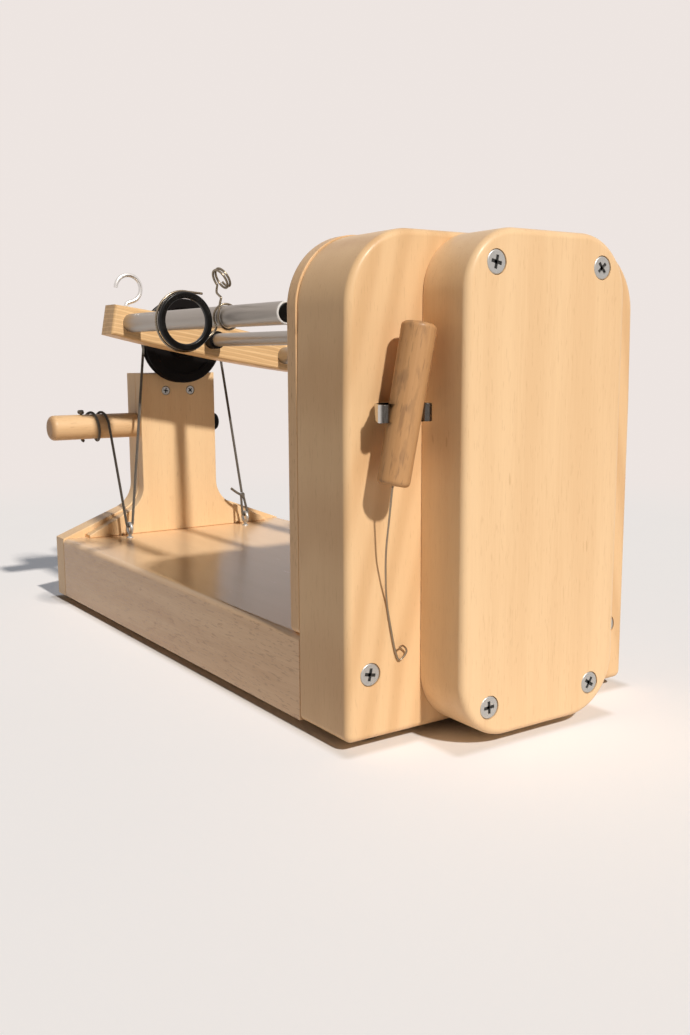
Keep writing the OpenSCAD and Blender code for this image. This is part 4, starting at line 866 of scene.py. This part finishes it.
stem = [(-61.4, 1.7, 12.8), (-61, 1.9, 11), (-60.9, -0.8, 9.5), (-60.9, -3.4, 8.2), (-60.9, -3.2, 6),
        (-60.9, -3, 3)]
wrap = [(-ARM_R - WRAP_R * cos(radians(g)), LOOP_Y - 3 + 4.8 * g / 360, -WRAP_R * sin(radians(g)))
        for g in range(0, 406, 9)]
drop = [(-58.7, LOOP_Y + 1.6, -6.2), (-59.7, LOOP_Y + 0.6, -8), (-61.7, LOOP_Y, -10.4)]
turns = [radians(-25 - 245 * i / 48) for i in range(49)]
loop = [(RING_U + LOOP_R * cos(g), LOOP_Y, RING_W + LOOP_R * sin(g)) for g in turns]
last = Vector(loop[-1])
guide_path = [coil_point(i) for i in range(96, -1, -1)]
guide_path += eased([(u, LOOP_Y + y, w) for u, y, w in stem], 5) + wrap
guide_path += eased([wrap[-1]] + drop + [loop[0]], 4)[1:-1] + loop
guide_path += [last + Vector((3, 0, 0.3)), last + Vector((8, 0, 0.8))]
bow = [(0, -3), (0, 1), (0.3, 3)]
bow += [(8 * cos(radians(g)), 12 + 8 * sin(radians(g))) for g in range(-68, 189, 8)]
hook_paths = {"left": [(-56 + x, 118, 9 + out) for x, out in bow],
              "right": [(56 + x, 127 + out, 0) for x, out in bow]}
ring_section = quarter(13.475, 0.9, 0.9, -90, 0) + quarter(13.475, 2.3, 0.9, 0, 90)
ring_section += quarter(11.975, 2.3, 0.9, 90, 180) + quarter(11.975, 0.9, 0.9, 180, 270)
for side, name in ((1, "left"), (-1, "right")):
    guide = strand(f"sliding_guide_{name}", [on_flyer(side * u, y, side * w) for u, y, w in guide_path], 1.2)
    finished(guide, f"guide_{name}", "spring_wire", "spring_wire", f"guide_wire_{name}", angle=60)
    hook = strand(f"open_hook_{name}", [on_flyer(u, y, w) for u, y, w in hook_paths[name]], 2.5, 6)
    finished(hook, "flyer", "zinc", "bright_hook", f"yarn_hook_{name}", angle=60)
    ring_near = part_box(f"guide_ring_{name}")[0][1] / MM
    ring_at = on_flyer(side * RING_U, ring_near, side * RING_W)
    ring = turned(f"pinch_ring_{name}", ring_section, ring_at, ALONG, 72)
    finished(ring, f"guide_{name}", "black_plastic", "ring_black", f"guide_ring_{name}", angle=60)

# %% [markdown]
# ## Brake cord
# One cord does the braking: it is wound on the peg, drops through the left screw eye, goes up and over
# the drum, and is knotted at the right eye. It is held along its whole way, so it has no slack to hang.
# The angles where it leaves the peg and meets the drum are tangents, found as in the CAD source.

# %% Cord route
PEG = Vector((0, 171, 114.3))
EYE_X, EYE_Y, EYE_TOP, EYE_BEND = 43, 149, 51.4, 2.05
WIND_R, CORD, RUN_R, GROOVE_Y = 9.2, 1.7, 26.75, 153.25
axis = AXIS_Z / MM


def on_peg(g):
    x = -52.75 + 7 * g / 360 - 4.1 * max(0, -270 - g) / 360
    return Vector((x, PEG.y + WIND_R * cos(radians(g)), PEG.z + WIND_R * sin(radians(g))))


def on_drum(g):
    return Vector((RUN_R * cos(radians(g)), GROOVE_Y, axis + RUN_R * sin(radians(g))))


def round_eye(x, g):
    return Vector((x + EYE_BEND * cos(radians(g)), EYE_Y, EYE_TOP + EYE_BEND * sin(radians(g))))


def steps_between(first, last, count):
    return [first + (last - first) * i / count for i in range(count + 1)]


fall = (EYE_Y - PEG.y, EYE_TOP - PEG.z)
peg_touch = degrees(atan2(fall[1], fall[0])) + 360 - degrees(acos(WIND_R / hypot(*fall)))
climb = hypot(EYE_X, axis - EYE_TOP)
slope = degrees(atan2(axis - EYE_TOP, EYE_X))
left_rise = slope + degrees(asin((RUN_R + EYE_BEND) / climb))
right_rise = slope + degrees(asin(RUN_R / climb))
peg_leave = on_peg(peg_touch)
eye_enter = degrees(atan2(EYE_TOP - peg_leave.z, -EYE_X - peg_leave.x)) + 270
right_eye = Vector((EYE_X, EYE_Y, EYE_TOP))
right_way = (on_drum(90 - right_rise) - right_eye).normalized()
knot = right_eye + right_way * 12
route = [on_peg(g) for g in steps_between(0, peg_touch, 16)]
route += [round_eye(-EYE_X, g) for g in steps_between(eye_enter, left_rise + 270, 12)]
route += [on_drum(g) for g in steps_between(left_rise + 90, 90 - right_rise, 32)]
route += [knot + right_way * (1.2 * CORD + 0.05)]
cord = strand("brake_strand", [point * MM for point in route], CORD)
finished(cord, "stand", "cord", "brake_cord", "brake_cord", angle=60)
print("cord on the stand:", round(sum((b - a).length for a, b in zip(route, route[1:]))), "mm")

# %% [markdown]
# ## Knots and windings
# A knot is not a ball: it is the cord itself, passed through its own loop. A trefoil curve is the
# simplest path that does so, and at this size it reads as a tied knot. The windings on the peg follow a
# helix that starts at the peg's cross hole.

# %% Knots and windings
def trefoil(centre, size, lean):
    points = []
    for i in range(61):
        g = 2 * pi * i / 60
        path = Vector((sin(g) + 2 * sin(2 * g), cos(g) - 2 * cos(2 * g), -1.1 * sin(3 * g))) * size / 3
        points.append(centre + Matrix.Rotation(lean, 3, "X") @ path)
    return points


loop = [knot + Vector((-0.85, 0, 0))] + [round_eye(EYE_X, g) for g in range(180, 361, 12)]
loop += [knot + Vector((0.85, 0, 0))]
tail = eased([knot, knot + Vector((-4, 0.4, 2.2)), knot + Vector((-8, 1.2, 5.4))], 6)
tied = [strand("knot_loop", [p * MM for p in loop], CORD), strand("knot_tail", [p * MM for p in tail], CORD),
        strand("knot_turns", [p * MM for p in trefoil(knot, 1.5, radians(60))], CORD)]
finished(joined(tied, "eye_knot"), "stand", "cord", "brake_cord", "brake_knot", angle=60)

hole_x = -64.75
lead_in = eased([Vector((hole_x, PEG.y, PEG.z + 9.05)), Vector((hole_x, PEG.y, PEG.z)),
                 Vector((hole_x, PEG.y, PEG.z - 7.45)),
                 Vector((hole_x + 0.4, PEG.y + 0.3, PEG.z - WIND_R + 0.4)),
                 on_peg(-450) + Vector((-0.3, -0.5, -0.1))], 6)
winding = lead_in + [on_peg(g) for g in steps_between(-442, -2, 88)]
wound = strand("peg_winding", [p * MM for p in winding], CORD)
finished(wound, "peg", "cord", "brake_cord", "peg_cord", angle=60)
turns = trefoil(Vector((hole_x, PEG.y, PEG.z + 9.7)), 1.5, 0)
end_knot = strand("peg_end_knot", [p * MM for p in turns], CORD)
finished(end_knot, "peg", "cord", "brake_cord", "peg_knot", angle=60)

# %% [markdown]
# ## Peg, cap and screw eyes
# The peg is a dowel with a domed end and a thinner shank through the mast; a plastic cap holds it from
# the other side. The screw eyes are rings of wire on a shank that goes into the base.

# %% Peg, cap and eyes
section = [(0, -58.8), (4.5, -58.8), (4.5, 0), (7.6, 0)] + quarter(7.55, 0.5, 0.5, -90, 0, 2)
section += [(8.05, 30), (8.05, 55.3)] + quarter(4.75, 55.4, 3.3, 0, 90, 8) + [(0, 58.7)]
peg = turned("peg_dowel", section, (-0.02755, PEG.y * MM, PEG.z * MM), (-1, 0, 0))
drilled(peg, (hole_x * MM, PEG.y * MM, PEG.z * MM), UPWARD, 1.15, 40)
finished(peg, "peg", "beech_handle", "peg_beech", "tension_peg")
section = [(4.55, 0), (6, 0), (6, 3.6)] + quarter(3.6, 3.6, 2.4, 0, 90, 6)
section += [(0, 6), (0, 4.05), (4.55, 4.05)]
cap = turned("peg_end_cap", section, (0.02755, PEG.y * MM, PEG.z * MM), ACROSS, 48)
finished(cap, "peg", "black_plastic", "drum_black", "peg_cap")
for x, name in ((-EYE_X, "left"), (EYE_X, "right")):
    bow = [(x, EYE_Y + 3.4 * sin(radians(g)), 48 - 3.4 * cos(radians(g))) for g in range(0, 349, 8)]
    shank = [(x, EYE_Y, 30), (x, EYE_Y, 40), (x, EYE_Y - 0.1, 43.4)]
    eye = strand(f"screw_eye_{name}", [Vector(p) * MM for p in shank + bow], 2.2, 6)
    flange = turned(f"eye_foot_{name}", [(0, 0), (2.1, 0), (2.1, 0.35), (1.5, 0.8), (0, 0.8)],
                    Vector((x, EYE_Y, 42)) * MM, UPWARD, 32)
    eye = joined([eye, flange], f"screw_eye_{name}")
    finished(eye, "stand", "zinc", "zinc_screw", f"eyelet_{name}", angle=60)

# %% [markdown]
# ## Screws
# Countersunk cross-head screws hold the boards. One is modelled: a turned head, then a cross sunk into it
# with a Boolean. Each place gets a copy with its own mesh and its own turn of the cross, as hand-driven
# screws have.

# %% Screws
def cross_arms(name, head, long, wide, deep, sunk_by):
    size = (long * head * MM, deep * MM, wide * head * MM)
    return [cuboid(name, size, (0, sunk_by * MM, 0), turn) for turn in (0, pi / 2)]


def cross_screw(head, depth):
    rim = head / 2
    section = [(0, 0.0), (rim - 0.9, 0.0)] + quarter(rim - 0.6, 0.55, 0.6, -90, 0, 3)
    section += [(rim, 0.9), (rim * 0.55, 0.9 + rim * 0.45), (rim * 0.5, depth), (0, depth)]
    screw = turned("screw", section, (0, 0, 0), ALONG, 48)
    for arm in cross_arms("cross_arm", head, 0.56, 0.15, 4.6, 0):
        taken_out(screw, arm)
    return screw


def copied(master, places, outward, name):
    copies = []
    for place, turn in places:
        only(master)
        bpy.ops.object.duplicate(linked=False)
        copy = bpy.context.active_object
        spun = Matrix.Rotation(radians(turn), 4, "Y")
        faced = Matrix.Rotation(pi if outward > 0 else 0, 4, "Z")
        copy.matrix_world = Matrix.Translation(Vector(place) * MM) @ faced @ spun
        bpy.ops.object.transform_apply(location=True, rotation=True, scale=True)
        copies.append(copy)
    bpy.data.objects.remove(master)
    return joined(copies, name)


def driven(node, name, head, depth, places, outward):
    screws = copied(cross_screw(head, depth), places, outward, name)
    finished(screws, "stand", "zinc", "zinc_screw", node, angle=40)
    # A near-black cross laid in the bottom of each recess is painted shade.
    shade_cross = joined(cross_arms("shade_cross_arm", head, 0.55, 0.148, 0.5, 0.7), "shade_cross")
    shade_crosses = copied(shade_cross, places, outward, f"{name}_recess")
    finished(shade_crosses, "stand", "zinc", "recess_painted_shade", node, angle=40)


for node, name, head, depth, y, places, outward in (
        ("cover_screws", "cover_screw_set", BIG_HEAD, 5, -186.85, COVER_SCREWS, -1),
        ("headstock_screws", "headstock_screw_set", BIG_HEAD, 5, -159.85, HEADSTOCK_SCREWS, -1),
        ("plate_screws", "plate_screw_set", SMALL_HEAD, 4, -115.65, PLATE_SCREWS, 1),
        ("front_screws", "end_screw_set", BIG_HEAD, 5, 182.85, END_SCREWS, 1),
        ("mast_screws", "mast_screw_set", SMALL_HEAD, 4, 160.65, MAST_SCREWS, -1)):
    turns = [(12 + 37 * i) % 90 for i in range(len(places))]
    driven(node, name, head, depth, [((x, y, z), turn) for (x, z), turn in zip(places, turns)], outward)

# %% [markdown]
# ## Threading hook and its clip
# A turned handle with a thin curled wire hangs in a spring clip on the headstock, leaning a little. The
# clip is a strip of spring steel with rolled lips: its path is drawn in plan, given its thickness as an
# outline, and cut out like the boards.

# %% Handle, hook wire and clip
HOLD = Vector((-61.1, -160, 141.3))
LEAN = Matrix.Rotation(HANDLE_LEAN, 3, "Y")
handle_way = LEAN @ Vector((0, 0, 1))
hook_start = HOLD - handle_way * 31.75
stand_off = Vector((0, -12, 0))
section = [(0, 0), (4.5, 0)] + quarter(4.5, 2, 2, -90, 0) + [(6.75, 34)]
section += [(6.97, 61.3)] + quarter(5, 61.5, 2, 4, 90, 6) + [(0, 63.5)]
handle = turned("hook_grip", section, (hook_start + stand_off) * MM, handle_way)
finished(handle, "threading_hook", "beech_handle", "handle_beech", "hook_handle")

bends = [stand_off + handle_way * 5, stand_off, stand_off - handle_way * 2, (0.1, -9.4, -14),
         (0.9, -6.4, -26.5), (3.1, -3.2, -39), (5.6, -0.7, -50), (7.7, -0.7, -61), (9.8, -0.7, -70),
         (11.6, -0.9, -74), (13.8, -1.2, -73), (15, -1.6, -70.5), (12.7, -2.1, -68), (10.6, -2.5, -68.4)]
wire = strand("threading_wire", [(hook_start + point) * MM for point in eased(bends)], 0.8)
finished(wire, "threading_hook", "spring_wire", "hook_wire", "hook_wire", angle=60)

CLIP = Vector((-61.738, -160, 138.164))
CLIP_WIDE = 0.007
lip = [(10.3 + 2 * cos(radians(g)), -12 + 2 * sin(radians(g))) for g in range(180, 421, 20)]
half = [(0, -0.4), (4, -0.4), (7.5, -3), (8.1, -6.6)] + lip
half = eased([Vector(point) for point in half], 5)
path = [Vector((-p.x, p.y)) for p in reversed(half[1:])] + half
edge = []
for i, point in enumerate(path):
    way = (path[min(i + 1, len(path) - 1)] - path[max(i - 1, 0)]).normalized()
    edge.append((point, Vector((-way.y, way.x)) * 0.4))
outline = [p + n for p, n in edge] + [p - n for p, n in reversed(edge)]
low_edge = [(CLIP + Vector((p.x, p.y, -3.5))) * MM for p in outline]
clip = cut_out("spring_clip", low_edge, (0, 0, CLIP_WIDE))
ease_rims(clip, 2, (low_edge[0].z, low_edge[0].z + CLIP_WIDE), 0.18, 2)
# The clip's lips carry a painted dark reflection in their finish.
finished(clip, "stand", "zinc", "nickel_clip_painted_reflection", "tool_clip", angle=50)
section = [(0, -2.4), (1.6, -2.4)] + quarter(1.6, -1.0, 1.4, -90, 0)
section += [(3, -0.8), (1.6, -0.8), (1.6, 6), (0, 6)]
finished(turned("clip_pin", section, CLIP * MM, ALONG, 40), "stand", "zinc", "zinc_screw", "clip_screw")

# %% [markdown]
# ## Bobbin driver, controls and feet
# On the flyer side a disc with two pins takes the bobbin along. The speed knob, the rocker switch and the
# power socket are on the right-hand side of the headstock, which the photograph doesn't show, so they are
# plain ones. Four rubber feet keep the base off the table.

# %% Bobbin driver
low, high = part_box("bobbin_driver")
section = [(0, 0.6), (5.05, 0.6), (5.05, 0), (22, 0)] + quarter(22, 1, 1, -90, 0) + quarter(22, 5, 1, 0, 90)
section += [(10.6, 6)] + quarter(10.4, 6.4, 0.4, 270, 180, 2)
section += [(10, 14.4), (9.6, 15), (6.55, 15), (6.55, 6.5), (0, 6.5)]
driver = turned("driver_disc", section, (0, low[1], AXIS_Z), ALONG, 80)
finished(driver, "driver", "black_plastic", "block_black", "bobbin_driver")
low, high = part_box("drive_pins")
pin_l = (high[1] - low[1]) / MM
section = [(0, 0), (2.5, 0), (2.5, pin_l - 1)] + quarter(1.5, pin_l - 1, 1, 0, 90) + [(0, pin_l)]
pins = [turned(f"pin_{i}", section, (x * MM, low[1], AXIS_Z), ALONG, 32) for i, x in enumerate((-16, 16))]
finished(joined(pins, "driver_pins"), "driver", "steel", "shaft_steel", "drive_pins")

# %% Knob, socket and feet
KNOB_Z = 0.142
flutes = []
for i in range(160):
    g = 2 * pi * i / 160
    flutes.append((9 - 0.9 * max(0, cos(16 * g)) ** 1.5, g))
outline = [(0.0826, CONTROL_Y * MM + r * cos(g) * MM, KNOB_Z + r * sin(g) * MM) for r, g in flutes]
body = cut_out("knob_body", outline, (0.0064, 0, 0))
ease_rims(body, 0, (0.089,), 0.7, 3)
section = [(0, 0), (11, 0), (11, 1), (10.4, 1.6), (0, 1.6)]
skirt = turned("knob_skirt", section, (0.0815, CONTROL_Y * MM, KNOB_Z), ACROSS)
section = [(0, 0), (3, 0), (3, 13.8), (0, 13.8)]
stem = turned("knob_stem", section, (0.0675, CONTROL_Y * MM, KNOB_Z), ACROSS, 32)
finished(joined([body, skirt, stem], "knob_fluted"), "knob", "black_plastic", "block_black", "speed_knob")

section = [(0, 0), (5.5, 0), (5.5, 18), (7.1, 18)] + quarter(7.0, 18.5, 0.5, -90, 0, 2)
section += [(7.5, 19.4), (6.9, 20), (4.4, 20), (4, 19.6), (4, 10)]
section += [(1.05, 10), (1.05, 19), (0.7, 19.4), (0, 19.4)]
inlet_at = (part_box("power_inlet")[0][0], CONTROL_Y * MM, mid_z("power_inlet"))
inlet = turned("power_socket", section, inlet_at, ACROSS, 48)
finished(inlet, "stand", "black_plastic", "block_black", "power_inlet")

feet = []
for i, (x, y) in enumerate(((-63, -142), (63, -142), (-63, 151), (63, 151))):
    section = [(0, 0), (7.6, 0)] + quarter(7.8, 1.0, 1.0, -90, 0) + [(9, 4), (0, 4)]
    feet.append(turned(f"foot_{i}", section, Vector((x, y, 0)) * MM, UPWARD, 40))
finished(joined(feet, "table_feet"), "stand", "rubber", "foot_rubber", "rubber_feet")
